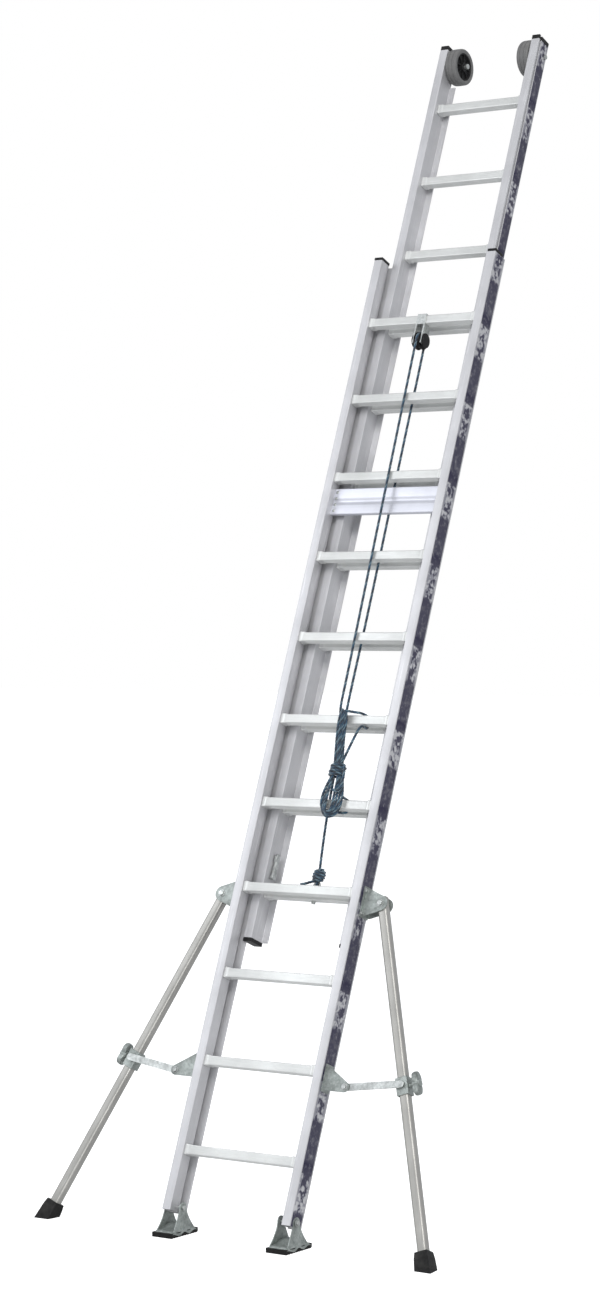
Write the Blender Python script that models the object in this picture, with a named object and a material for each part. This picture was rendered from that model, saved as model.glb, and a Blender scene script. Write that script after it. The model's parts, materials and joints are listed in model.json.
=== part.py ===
"""Rope-operated aluminium extension ladder with wall rollers and folding stabiliser legs.

The ladder is modelled upright in its own frame, X across, Y towards the wall and Z up along the
stiles, and hangs under one empty that leans it against the wall. Units are metres.
"""

import math

import bmesh
import bpy
from mathutils import Matrix, Vector

GAP = 0.0003

# The lean and the floor
LEAN_FROM_FLOOR = math.radians(68.36)
LEAN_BACK = math.radians(90.0) - LEAN_FROM_FLOOR
FOOT_DROP = 0.025

# Rungs
RUNG_PITCH = 0.28
FIRST_RUNG = 0.25
RUNG_COUNT = 11
RUNGS_EXTENDED = 3
RUNG_SIZE = 0.030
RUNG_WALL = 0.0016
COLLAR_SIZE = 0.034
COLLAR_LENGTH = 0.017
RUNG_TAIL = 0.007

# Base section
BASE_OUTER = 0.235
BASE_BOX_WIDTH = 0.030
BASE_BOX_DEPTH = 0.046
BASE_DEPTH = 0.0665
BASE_BOTTOM = 0.060
BASE_TOP = 3.280
BASE_RUNG_DEPTH = 0.023
STILE_WALL = 0.0025

# Fly section
FLY_OUTER = 0.195
FLY_FRONT = 0.052
FLY_BOX_WIDTH = 0.030
FLY_BOX_DEPTH = 0.066
FLY_BOTTOM = 0.937
FLY_TOP = 4.112
FLY_RUNG_DEPTH = 0.085
ROLLER_NOTCH_START = 3.995
FLY_CAP_THICKNESS = 0.016
FLY_PLUG_THICKNESS = 0.012

# Wall rollers
ROLLER_HEIGHT = 4.070
ROLLER_DEPTH = 0.1075
ROLLER_RADIUS = 0.0625
ROLLER_HALF_WIDTH = 0.022
ROLLER_CENTRE = 0.141
AXLE_RADIUS = 0.005

# Pulley and rope
SHEAVE_HEIGHT = 2.980
SHEAVE_DEPTH = 0.028
SHEAVE_PITCH_RADIUS = 0.026
SHEAVE_RADIUS = 0.030
SHEAVE_HALF_WIDTH = 0.0105
PULLEY_HALF_WIDTH = 0.017
ROPE_RADIUS = 0.0045
HANK_ACROSS = 0.064
HANK_RADIUS = 0.040
HANK_BOTTOM = 1.318
HANK_TOP = 1.700
PULLEY_HALF_SLOT = 0.0125
EYE_ACROSS = 0.015

# Feet
FOOT_PIVOT_HEIGHT = 0.075
FOOT_PIVOT_DEPTH = 0.030
FOOT_CENTRE = 0.210
SOLE_LENGTH = 0.135
SOLE_WIDTH = 0.074
SOLE_THICKNESS = 0.015
SOLE_TEETH = 10
SHOE_SHEET = 0.003

# Stabilisers
LEG_PIVOT_ACROSS = 0.297
LEG_PIVOT_HEIGHT = 1.067
LEG_DEPTH = 0.047
LEG_ANGLE = math.radians(20.4)
LEG_LENGTH = 1.122
LEG_WIDTH = 0.032
LEG_THICKNESS = 0.030
TIP_LENGTH = 0.075
TIP_SOCKET = 0.030
TIP_ACROSS = 0.686
CLAMP_DISTANCE = 0.589
CLAMP_LENGTH = 0.056
BRACE_PIVOT_ACROSS = 0.3135
BRACE_PIVOT_HEIGHT = 0.491
BRACE_LENGTH = 0.190
BRACE_REST = math.radians(8.15)
BRACE_FRONT = 0.0200
BRACE_THICKNESS = 0.0045

SIDES = (("left", -1), ("right", 1))

FINISHES = {
    "stile_aluminium": ((0.62, 0.63, 0.64), 0.38, 1.0),
    "rung_aluminium": ((0.66, 0.67, 0.68), 0.32, 1.0),
    "zinc_steel": ((0.52, 0.53, 0.52), 0.42, 1.0),
    "black_plastic": ((0.025, 0.025, 0.027), 0.50, 0.0),
    "roller_tyre": ((0.26, 0.26, 0.27), 0.75, 0.0),
    "black_rubber": ((0.020, 0.020, 0.021), 0.85, 0.0),
    "rope_fibre": ((0.15, 0.19, 0.20), 0.90, 0.0),
}


# ---------------------------------------------------------------- helpers

def clear_scene():
    """Remove whatever the scene holds."""
    for old in list(bpy.data.objects):
        bpy.data.objects.remove(old, do_unlink=True)


def finish(slot):
    """The material of one finish, made on first use."""
    if slot in bpy.data.materials:
        return bpy.data.materials[slot]
    colour, roughness, metallic = FINISHES[slot]
    made = bpy.data.materials.new(slot)
    made.use_nodes = True
    shader = made.node_tree.nodes["Principled BSDF"]
    shader.inputs["Base Color"].default_value = (*colour, 1.0)
    shader.inputs["Roughness"].default_value = roughness
    shader.inputs["Metallic"].default_value = metallic
    made.diffuse_color = (*colour, 1.0)
    return made


def prism(outline, start, end, axis):
    """An outline extruded along an axis: the outline lies in the other two axes, in their order."""
    place = {
        "X": lambda a, b, along: Vector((along, a, b)),
        "Y": lambda a, b, along: Vector((a, along, b)),
        "Z": lambda a, b, along: Vector((a, b, along)),
    }[axis]
    shape = bmesh.new()
    ring = [shape.verts.new(place(a, b, start)) for a, b in outline]
    lid = shape.faces.new(ring)
    pulled = bmesh.ops.extrude_face_region(shape, geom=[lid])
    moved = [item for item in pulled["geom"] if isinstance(item, bmesh.types.BMVert)]
    bmesh.ops.translate(shape, vec=place(0.0, 0.0, end - start), verts=moved)
    bmesh.ops.recalc_face_normals(shape, faces=shape.faces)
    return shape


def block(low, high):
    """A box between two corners."""
    outline = [(low[0], low[1]), (high[0], low[1]), (high[0], high[1]), (low[0], high[1])]
    return prism(outline, low[2], high[2], "Z")


def turned(profile, sides, hollow, start=(0.0, 1.0)):
    """A profile of (along X, radius) points spun about the X axis; a hollow one is a closed loop."""
    shape = bmesh.new()
    points = [shape.verts.new((along, radius * start[0], radius * start[1])) for along, radius in profile]
    edges = [shape.edges.new(pair) for pair in zip(points, points[1:])]
    if hollow:
        edges.append(shape.edges.new((points[-1], points[0])))
    bmesh.ops.spin(
        shape, geom=points + edges, cent=(0, 0, 0), axis=(1, 0, 0), angle=math.tau, steps=sides,
        use_merge=True,
    )
    bmesh.ops.remove_doubles(shape, verts=shape.verts, dist=1e-6)
    bmesh.ops.recalc_face_normals(shape, faces=shape.faces)
    return shape


def rod(radius, start, end, sides=20):
    """A round rod along X."""
    return turned([(start, 0.0), (start, radius), (end, radius), (end, 0.0)], sides, hollow=False)


def moved(shape, offset=(0.0, 0.0, 0.0), turn=None):
    """A shape turned by a matrix, then shifted."""
    matrix = Matrix.Translation(offset)
    if turn is not None:
        matrix = matrix @ turn
    bmesh.ops.transform(shape, matrix=matrix, verts=shape.verts)
    bmesh.ops.recalc_face_normals(shape, faces=shape.faces)
    return shape


def arc(centre, radius, first, last, steps):
    """Points on an arc, angles in degrees."""
    points = []
    for step in range(steps + 1):
        angle = math.radians(first + (last - first) * step / steps)
        points.append((centre[0] + radius * math.cos(angle), centre[1] + radius * math.sin(angle)))
    return points


def place_mesh(name, shape, parent, location):
    """Make a mesh object from a bmesh."""
    mesh = bpy.data.meshes.new(name)
    shape.to_mesh(mesh)
    shape.free()
    made = bpy.data.objects.new(name, mesh)
    bpy.context.scene.collection.objects.link(made)
    made.parent = parent
    made.location = location
    return made


def join_to(part, word, operation, shape, parent, location):
    """Weld a shape to a part, or cut it out of the part."""
    cutter = place_mesh(f"{part.name}_{word}", shape, parent, location)
    cutter.hide_render = True
    cutter.display_type = "WIRE"
    modifier = part.modifiers.new(cutter.name, "BOOLEAN")
    modifier.operation = operation
    modifier.solver = "EXACT"
    modifier.object = cutter


def add_part(name, shape, slot, parent, location=(0.0, 0.0, 0.0), joined=(), cuts=(), smooth=False):
    """One sub-part: a first shape, the shapes welded to it and the shapes cut out of it."""
    part = place_mesh(name, shape, parent, location)
    part.data.materials.append(finish(slot))
    if smooth:
        part.data.shade_smooth()
        part.data.set_sharp_from_angle(angle=math.radians(35.0))
    for operation, tools in (("UNION", joined), ("DIFFERENCE", cuts)):
        for number, tool in enumerate(tools):
            join_to(part, f"{operation.lower()}_{number}", operation, tool, parent, location)
    return part


def empty(name, parent, location, rotation=(0.0, 0.0, 0.0)):
    """A joint's or a section's own frame."""
    frame = bpy.data.objects.new(name, None)
    bpy.context.scene.collection.objects.link(frame)
    frame.parent = parent
    frame.location = location
    frame.rotation_euler = rotation
    return frame


def level(number):
    """Height of a rung level along the ladder."""
    return FIRST_RUNG + (number - 1) * RUNG_PITCH


# ---------------------------------------------------------------- stiles, rungs and caps

def base_stile_outline(side):
    """The base stile's section: a box in front, a recess open inwards, and the lip that holds the fly."""
    section = [
        (0.0, 0.0), (BASE_BOX_WIDTH, 0.0), (BASE_BOX_WIDTH, BASE_BOX_DEPTH), (0.003, BASE_BOX_DEPTH),
        (0.003, 0.0615), (0.0465, 0.0615), (0.0465, BASE_DEPTH), (0.0, BASE_DEPTH),
    ]
    return [(side * (BASE_OUTER - inward), depth) for inward, depth in section]


def rung_holes(side, inner_face, depth, first_level):
    """Square holes for the rungs' tails through a stile's inner wall."""
    half = RUNG_SIZE / 2 + GAP
    holes = bmesh.new()
    for number in range(RUNG_COUNT):
        height = level(first_level + number)
        near = side * (inner_face - 0.001)
        far = side * (inner_face + STILE_WALL + 0.001)
        hole = block(
            (min(near, far), depth - half, height - half), (max(near, far), depth + half, height + half)
        )
        mesh = bpy.data.meshes.new("rung_hole")
        hole.to_mesh(mesh)
        hole.free()
        holes.from_mesh(mesh)
        bpy.data.meshes.remove(mesh)
    return holes


def base_stile(name, side, parent):
    """A base stile, hollow, with holes for the rungs' tails and the foot's pivot bolt."""
    inner_face = BASE_OUTER - BASE_BOX_WIDTH
    cavity_outline = [
        (side * (BASE_OUTER - STILE_WALL), STILE_WALL),
        (side * (inner_face + STILE_WALL), STILE_WALL),
        (side * (inner_face + STILE_WALL), BASE_BOX_DEPTH - STILE_WALL),
        (side * (BASE_OUTER - STILE_WALL), BASE_BOX_DEPTH - STILE_WALL),
    ]
    cavity = prism(cavity_outline, BASE_BOTTOM - 0.01, BASE_TOP + 0.01, "Z")
    pivot_hole = moved(rod(0.0043, -0.03, 0.03), (side * 0.22, FOOT_PIVOT_DEPTH, FOOT_PIVOT_HEIGHT))
    holes = rung_holes(side, inner_face, BASE_RUNG_DEPTH, 1)
    outline = base_stile_outline(side)
    body = prism(outline, BASE_BOTTOM, BASE_TOP, "Z")
    add_part(name, body, "stile_aluminium", parent, cuts=(cavity, holes, pivot_hole))


def fly_box_outline(side):
    """The fly stile's box: its outer face has the groove that the base section's lip runs in."""
    section = [
        (0.0, 0.0), (FLY_BOX_WIDTH, 0.0), (FLY_BOX_WIDTH, FLY_BOX_DEPTH), (0.0, FLY_BOX_DEPTH),
        (0.0, 0.017), (0.008, 0.017), (0.008, 0.0085), (0.0, 0.0085),
    ]
    return [(side * (FLY_OUTER - inward), FLY_FRONT + depth) for inward, depth in section]


def fly_stile_outline(side):
    """The fly stile's whole section, with its rear lip pointing inwards."""
    section = [
        (0.0, 0.0), (FLY_BOX_WIDTH, 0.0), (FLY_BOX_WIDTH, 0.061), (0.051, 0.061),
        (0.051, FLY_BOX_DEPTH), (0.0, FLY_BOX_DEPTH), (0.0, 0.017), (0.008, 0.017),
        (0.008, 0.0085), (0.0, 0.0085),
    ]
    return [(side * (FLY_OUTER - inward), FLY_FRONT + depth) for inward, depth in section]


def fly_cavity_outline(side, slack):
    """The hollow of the fly stile's box, or with some slack the plug that fits it."""
    section = [
        (0.0105 + slack, STILE_WALL + slack), (FLY_BOX_WIDTH - STILE_WALL - slack, STILE_WALL + slack),
        (FLY_BOX_WIDTH - STILE_WALL - slack, FLY_BOX_DEPTH - STILE_WALL - slack),
        (STILE_WALL + slack, FLY_BOX_DEPTH - STILE_WALL - slack), (STILE_WALL + slack, 0.0195 + slack),
        (0.0105 + slack, 0.0195 + slack),
    ]
    return [(side * (FLY_OUTER - inward), FLY_FRONT + depth) for inward, depth in section]


def fly_stile(name, side, parent):
    """A fly stile, hollow, with its lip cut away beside the wall roller."""
    inner_face = FLY_OUTER - FLY_BOX_WIDTH
    cavity = prism(fly_cavity_outline(side, 0.0), FLY_BOTTOM - 0.01, FLY_TOP + 0.01, "Z")
    holes = rung_holes(side, inner_face, FLY_RUNG_DEPTH, 1 + RUNGS_EXTENDED)
    near = side * 0.1435
    far = side * (inner_face - 0.0005)
    notch = block(
        (min(near, far), FLY_FRONT + 0.060, ROLLER_NOTCH_START), (max(near, far), 0.120, FLY_TOP + 0.01)
    )
    axle_hole = moved(
        rod(AXLE_RADIUS + 0.0005, -0.03, 0.03, 12), (side * 0.18, ROLLER_DEPTH, ROLLER_HEIGHT)
    )
    latch_hole = moved(rod(0.0045, -0.005, 0.005, 12), (side * inner_face, FLY_RUNG_DEPTH, latch_height()))
    body = prism(fly_stile_outline(side), FLY_BOTTOM, FLY_TOP, "Z")
    add_part(name, body, "stile_aluminium", parent, cuts=(notch, cavity, holes, latch_hole, axle_hole))


def rung_shape(inner_face):
    """A square tube with a swaged collar near each end and a tail through each stile's inner wall."""
    end = inner_face + RUNG_TAIL
    outside = inner_face - GAP
    inside = outside - COLLAR_LENGTH
    bore = RUNG_SIZE / 2 - RUNG_WALL
    tube = RUNG_SIZE / 2
    collar = COLLAR_SIZE / 2
    half_profile = [
        (inside, tube), (inside, collar), (outside, collar), (outside, tube), (end, tube), (end, bore),
    ]
    mirrored = [(-along, radius) for along, radius in reversed(half_profile)]
    return turned(mirrored + half_profile, 4, hollow=True, start=(1.0, 1.0))


def rungs(prefix, inner_face, depth, first_level, parent):
    """One section's rungs; the fly's lowest is drilled for the eye bolt."""
    for number in range(1, RUNG_COUNT + 1):
        location = (0.0, depth, level(first_level + number - 1))
        cuts = ()
        if prefix == "fly_rung" and number == 1:
            upright = Matrix.Rotation(math.pi / 2, 4, "Y")
            cuts = (moved(rod(0.0043, -0.02, 0.02), (EYE_ACROSS, 0.0, 0.0), upright),)
        name = f"{prefix}_{number:02d}"
        add_part(name, rung_shape(inner_face), "rung_aluminium", parent, location, cuts=cuts)


def base_top_cap(name, side, parent):
    """A moulded cap on the box, with a plug inside it."""
    across = sorted((side * (BASE_OUTER + 0.001), side * (BASE_OUTER - BASE_BOX_WIDTH - 0.001)))
    cap = block((across[0], -0.001, BASE_TOP + GAP), (across[1], BASE_BOX_DEPTH + 0.001, BASE_TOP + 0.010))
    slack = STILE_WALL + 0.0006
    inside = sorted((side * (BASE_OUTER - slack), side * (BASE_OUTER - BASE_BOX_WIDTH + slack)))
    plug = block(
        (inside[0], slack, BASE_TOP - 0.020), (inside[1], BASE_BOX_DEPTH - slack, BASE_TOP + 0.005)
    )
    add_part(name, cap, "black_plastic", parent, joined=(plug,))


def fly_cap(name, side, end, outwards, thickness, parent):
    """A moulded end cap flush with the fly stile's box, with a plug inside it."""
    start = end + outwards * GAP
    cap = prism(fly_box_outline(side), start, end + outwards * thickness, "Z")
    plug = prism(fly_cavity_outline(side, 0.0006), end - outwards * 0.018, end + outwards * 0.004, "Z")
    add_part(name, cap, "black_plastic", parent, joined=(plug,))


# ---------------------------------------------------------------- base section's fittings

def brace_plate(parent):
    """A pressed sheet between the base stiles, with its long edges folded back."""
    low = level(9) - 0.126
    high = level(9) - 0.035
    front = 0.026
    back = 0.040
    sheet = 0.002
    outline = [
        (front, low), (back, low), (back, low + sheet), (front + sheet, low + sheet),
        (front + sheet, high - sheet), (back, high - sheet), (back, high), (front, high),
    ]
    reach = BASE_OUTER - BASE_BOX_WIDTH - GAP
    add_part("brace_plate", prism(outline, -reach, reach, "X"), "rung_aluminium", parent)


def pulley_bracket(parent):
    """A strap round the top rung whose two cheeks hold the sheave's axle."""
    top_rung = level(RUNG_COUNT)
    hole = RUNG_SIZE / 2 + GAP
    strap = hole + 0.003
    body = block(
        (-PULLEY_HALF_WIDTH, BASE_RUNG_DEPTH - strap, SHEAVE_HEIGHT - 0.016),
        (PULLEY_HALF_WIDTH, BASE_RUNG_DEPTH + strap, top_rung + strap),
    )
    rung_hole = block(
        (-0.03, BASE_RUNG_DEPTH - hole, top_rung - hole), (0.03, BASE_RUNG_DEPTH + hole, top_rung + hole)
    )
    slot = block(
        (-PULLEY_HALF_SLOT, -0.02, SHEAVE_HEIGHT - 0.03), (PULLEY_HALF_SLOT, 0.07, top_rung - strap)
    )
    axle = moved(rod(0.004, -0.0195, 0.0195), (0.0, SHEAVE_DEPTH, SHEAVE_HEIGHT))
    part = add_part("pulley_bracket", body, "zinc_steel", parent, cuts=(rung_hole, slot))
    join_to(part, "axle", "UNION", axle, parent, (0.0, 0.0, 0.0))


def pulley_sheave(parent):
    """The grooved wheel, turning on its axle."""
    floor = SHEAVE_PITCH_RADIUS - ROPE_RADIUS - 0.001
    profile = [
        (-SHEAVE_HALF_WIDTH, 0.0043), (-SHEAVE_HALF_WIDTH, SHEAVE_RADIUS), (-0.0085, SHEAVE_RADIUS),
        (-0.0052, floor), (0.0052, floor), (0.0085, SHEAVE_RADIUS),
        (SHEAVE_HALF_WIDTH, SHEAVE_RADIUS), (SHEAVE_HALF_WIDTH, 0.0043),
    ]
    pivot = empty("sheave_axis", parent, (0.0, SHEAVE_DEPTH, SHEAVE_HEIGHT))
    add_part("pulley_sheave", turned(profile, 32, hollow=True), "black_plastic", pivot, smooth=True)


def smooth_run(route, count):
    """Points at even steps along a smooth curve through a route."""
    padded = [2 * route[0] - route[1]] + route + [2 * route[-1] - route[-2]]
    points = []
    for step in range(count + 1):
        whole = min(int(step * (len(route) - 1) / count), len(route) - 2)
        part = step * (len(route) - 1) / count - whole
        before, first, last, after = padded[whole:whole + 4]
        points.append(
            0.5 * (2 * first + (last - before) * part
                   + (2 * before - 5 * first + 4 * last - after) * part ** 2
                   + (3 * first - before - 3 * last + after) * part ** 3)
        )
    return points


def rope_strands(parent):
    """The hoisting rope: up in front of the base rungs, over the sheave and down behind them."""
    front = SHEAVE_DEPTH - SHEAVE_PITCH_RADIUS
    rear = SHEAVE_DEPTH + SHEAVE_PITCH_RADIUS
    front_route = [
        Vector((0.016, front - 0.001, HANK_TOP + 0.006)), Vector((0.010, front, 2.0)),
        Vector((0.004, front, 2.5)), Vector((0.0, front, SHEAVE_HEIGHT)),
    ]
    rear_route = [
        Vector((0.0, rear, SHEAVE_HEIGHT)), Vector((0.003, rear, 2.5)), Vector((0.007, rear, 2.0)),
        Vector((0.004, rear, 1.7)), Vector((0.014, rear, 1.4)), Vector((EYE_ACROSS, rear + 0.002, 1.2)),
    ]
    over = []
    for step in range(1, 8):
        angle = math.pi - math.pi * step / 8
        offset = Vector((0.0, math.cos(angle), math.sin(angle))) * SHEAVE_PITCH_RADIUS
        over.append(Vector((0.0, SHEAVE_DEPTH, SHEAVE_HEIGHT)) + offset)
    points = smooth_run(front_route, 27) + over + smooth_run(rear_route, 40)
    curve = bpy.data.curves.new("rope_strands", "CURVE")
    curve.dimensions = "3D"
    curve.bevel_depth = ROPE_RADIUS
    curve.bevel_resolution = 3
    curve.use_fill_caps = True
    spline = curve.splines.new("POLY")
    spline.points.add(len(points) - 1)
    for target, point in zip(spline.points, points):
        target.co = (*point, 1.0)
    curve.materials.append(finish("rope_fibre"))
    strands = bpy.data.objects.new("rope_strands", curve)
    bpy.context.scene.collection.objects.link(strands)
    strands.parent = parent


def rope_hank(parent):
    """The spare rope, folded and tied in front of the fifth and sixth rungs."""
    upper = (HANK_ACROSS, HANK_TOP - HANK_RADIUS)
    lower = (HANK_ACROSS, HANK_BOTTOM + HANK_RADIUS)
    outline = arc(upper, HANK_RADIUS, 0.0, 180.0, 10) + arc(lower, HANK_RADIUS, 180.0, 360.0, 10)
    add_part("rope_hank", prism(outline, -0.024, 0.0072, "Y"), "rope_fibre", parent, smooth=True)


# ---------------------------------------------------------------- fly section's fittings

def latch_height():
    """Height of the latch pawls' pivots, above the fly's lowest rung."""
    return level(1 + RUNGS_EXTENDED) + 0.055


def roller_axle(name, side, parent):
    """A bolt through the fly stile, with its head outside and its nut inside the roller."""
    head = 0.0065
    reach = FLY_OUTER - 0.1125
    profile = [
        (head, 0.0), (head, 0.008), (GAP, 0.008), (GAP, AXLE_RADIUS),
        (-reach, AXLE_RADIUS), (-reach, 0.009), (-reach - 0.007, 0.009), (-reach - 0.007, 0.0),
    ]
    shape = turned([(side * along, radius) for along, radius in profile], 24, hollow=False)
    location = (side * FLY_OUTER, ROLLER_DEPTH, ROLLER_HEIGHT)
    add_part(name, shape, "zinc_steel", parent, location, smooth=True)


def wall_roller(name, side, parent):
    """A roller for the wall: a hub with dished sides in a thick tyre."""
    half = ROLLER_HALF_WIDTH
    right_half = [
        (half - 0.004, ROLLER_RADIUS), (half, ROLLER_RADIUS - 0.0045), (half, 0.047), (half - 0.008, 0.044),
        (half - 0.008, 0.018), (half, 0.016), (half, AXLE_RADIUS + GAP),
    ]
    left_half = [(-along, radius) for along, radius in reversed(right_half)]
    pivot = empty(f"{name}_axis", parent, (side * ROLLER_CENTRE, ROLLER_DEPTH, ROLLER_HEIGHT))
    add_part(name, turned(right_half + left_half, 40, hollow=True), "roller_tyre", pivot, smooth=True)


def eye_bolt(parent):
    """An eye bolt through the fly's lowest rung, with its nut underneath."""
    profile = [
        (-0.0235, 0.0), (-0.0235, 0.0065), (-0.0155, 0.0065), (-0.0155, 0.004), (0.0155, 0.004),
        (0.0155, 0.0075), (0.018, 0.0075), (0.018, 0.004), (0.024, 0.004), (0.024, 0.0),
    ]
    upright = Matrix.Rotation(-math.pi / 2, 4, "Y")
    shank = moved(turned(profile, 20, hollow=False), turn=upright)
    ring_profile = [(along, 0.011 + radius) for along, radius in arc((0.0, 0.0), 0.0035, 0.0, 330.0, 11)]
    flat = Matrix.Rotation(math.pi / 2, 4, "Z")
    ring = moved(turned(ring_profile, 28, hollow=True), (0.0, 0.0, 0.034), flat)
    location = (EYE_ACROSS, FLY_RUNG_DEPTH, level(1 + RUNGS_EXTENDED))
    add_part("rope_eye_bolt", shank, "zinc_steel", parent, location, joined=(ring,), smooth=True)


def latch_pawl(name, side, parent):
    """A hook on the fly that swings forward over a base rung; it stands folded back, up its stile."""
    inner_face = FLY_OUTER - FLY_BOX_WIDTH
    near = side * (inner_face - 0.0125)
    far = side * (inner_face - 0.0035)
    outline = arc((0.0, 0.0), 0.010, 200.0, 360.0, 8) + [(0.010, 0.044)]
    outline += arc((0.0, 0.066), 0.009, 0.0, 180.0, 8) + [(-0.009, 0.052), (-0.004, 0.044)]
    arm = prism(outline, min(near, far), max(near, far), "X")
    pin = rod(0.004, min(near, side * (inner_face + 0.004)), max(near, side * (inner_face + 0.004)))
    pivot = empty(f"{name}_axis", parent, (0.0, FLY_RUNG_DEPTH, latch_height()))
    add_part(name, arm, "zinc_steel", pivot, joined=(pin,))


# ---------------------------------------------------------------- feet

def foot_drop():
    """Height of a foot's pivot above the floor."""
    along = FOOT_PIVOT_HEIGHT * math.sin(LEAN_FROM_FLOOR)
    return along - FOOT_PIVOT_DEPTH * math.cos(LEAN_FROM_FLOOR) + FOOT_DROP


def foot_shoe(name, side, pivot):
    """A folded steel shoe: a base, two cheeks beside the stile and the pivot bolt."""
    base_low = SOLE_THICKNESS + GAP - foot_drop()
    base_high = base_low + SHOE_SHEET
    half_width = SOLE_WIDTH / 2 - 0.003
    half_length = SOLE_LENGTH / 2 - 0.004
    base = block((-half_width, -half_length, base_low), (half_width, half_length, base_high))
    cheek_outline = [(-0.040, base_low), (0.040, base_low), (0.040, base_low + 0.012)]
    cheek_outline += arc((0.0, 0.0), 0.016, 20.0, 160.0, 8) + [(-0.040, base_low + 0.012)]
    inner = prism(cheek_outline, -0.0290, -0.0260, "X")
    outer = prism(cheek_outline, 0.0260, 0.0290, "X")
    bolt_profile = [
        (-0.0355, 0.0), (-0.0355, 0.0075), (-0.0285, 0.0075), (-0.0285, 0.004),
        (0.0285, 0.004), (0.0285, 0.0075), (0.0345, 0.0075), (0.0345, 0.0),
    ]
    bolt = turned(bolt_profile, 20, hollow=False)
    outwards = Matrix.Rotation(0.0 if side > 0 else math.pi, 4, "Z")
    shapes = [moved(shape, turn=outwards) for shape in (inner, outer, bolt)]
    add_part(name, base, "zinc_steel", pivot, joined=shapes)


def foot_sole(name, pivot):
    """A rubber sole with grooves across its underside."""
    floor = -foot_drop()
    half = SOLE_LENGTH / 2
    pitch = SOLE_LENGTH / SOLE_TEETH
    outline = [(half, floor + SOLE_THICKNESS), (-half, floor + SOLE_THICKNESS)]
    for tooth in range(SOLE_TEETH):
        start = -half + tooth * pitch
        outline += [(start, floor), (start + 0.6 * pitch, floor)]
        if tooth < SOLE_TEETH - 1:
            outline += [(start + 0.7 * pitch, floor + 0.0035), (start + 0.9 * pitch, floor + 0.0035)]
    outline += [(half, floor + 0.0035)]
    add_part(name, prism(outline, -SOLE_WIDTH / 2, SOLE_WIDTH / 2, "X"), "black_rubber", pivot)


def foot(word, side, parent):
    """One articulated foot, level on the floor at rest."""
    location = (side * FOOT_CENTRE, FOOT_PIVOT_DEPTH, FOOT_PIVOT_HEIGHT)
    pivot = empty(f"foot_{word}_axis", parent, location, (LEAN_BACK, 0.0, 0.0))
    foot_shoe(f"foot_shoe_{word}", side, pivot)
    foot_sole(f"foot_sole_{word}", pivot)


# ---------------------------------------------------------------- stabilisers

def upper_bracket(word, side, parent):
    """A pressed bracket on the base stile: a back plate, two lobed ears and the leg's hinge bolt."""
    plate_in = BASE_OUTER + GAP
    plate_out = plate_in + 0.004
    across = sorted((side * plate_in, side * plate_out))
    plate = block(
        (across[0], 0.018, LEG_PIVOT_HEIGHT - 0.048), (across[1], BASE_DEPTH, LEG_PIVOT_HEIGHT + 0.048)
    )
    root = [(plate_in, -0.043), (plate_in + 0.012, -0.043)]
    ear = [(side * along, LEG_PIVOT_HEIGHT + rise) for along, rise in root]
    lobe = arc((LEG_PIVOT_ACROSS, LEG_PIVOT_HEIGHT), 0.024, -70.0, 70.0, 10)
    ear += [(side * along, height) for along, height in lobe]
    ear += [(side * along, LEG_PIVOT_HEIGHT - rise) for along, rise in reversed(root)]
    half = LEG_THICKNESS / 2 + 0.0005
    front = prism(ear, LEG_DEPTH - half - 0.0035, LEG_DEPTH - half, "Y")
    rear = prism(ear, LEG_DEPTH + half, LEG_DEPTH + half + 0.0035, "Y")
    reach = half + 0.0035
    profile = [
        (-reach - 0.006, 0.0), (-reach - 0.006, 0.0085), (-reach + 0.001, 0.0085), (-reach + 0.001, 0.005),
        (reach - 0.001, 0.005), (reach - 0.001, 0.0085), (reach + 0.007, 0.0085), (reach + 0.007, 0.0),
    ]
    through = Matrix.Rotation(math.pi / 2, 4, "Z")
    centre = (side * LEG_PIVOT_ACROSS, LEG_DEPTH, LEG_PIVOT_HEIGHT)
    bolt = moved(turned(profile, 20, hollow=False), centre, through)
    add_part(f"stabiliser_hinge_{word}", plate, "zinc_steel", parent, joined=(front, rear, bolt))


def leg_tube(word, hinge):
    """The swinging leg: a rectangular tube, bored at its top for the hinge bolt."""
    half_width = LEG_WIDTH / 2
    half_thick = LEG_THICKNESS / 2
    body = block((-half_width, -half_thick, -LEG_LENGTH), (half_width, half_thick, 0.022))
    wall = 0.002
    hollow = block(
        (wall - half_width, wall - half_thick, -LEG_LENGTH - 0.01),
        (half_width - wall, half_thick - wall, 0.03),
    )
    bore = moved(rod(0.0053, -0.03, 0.03), turn=Matrix.Rotation(math.pi / 2, 4, "Z"))
    add_part(f"stabiliser_leg_{word}", body, "stile_aluminium", hinge, cuts=(hollow, bore))


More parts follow.
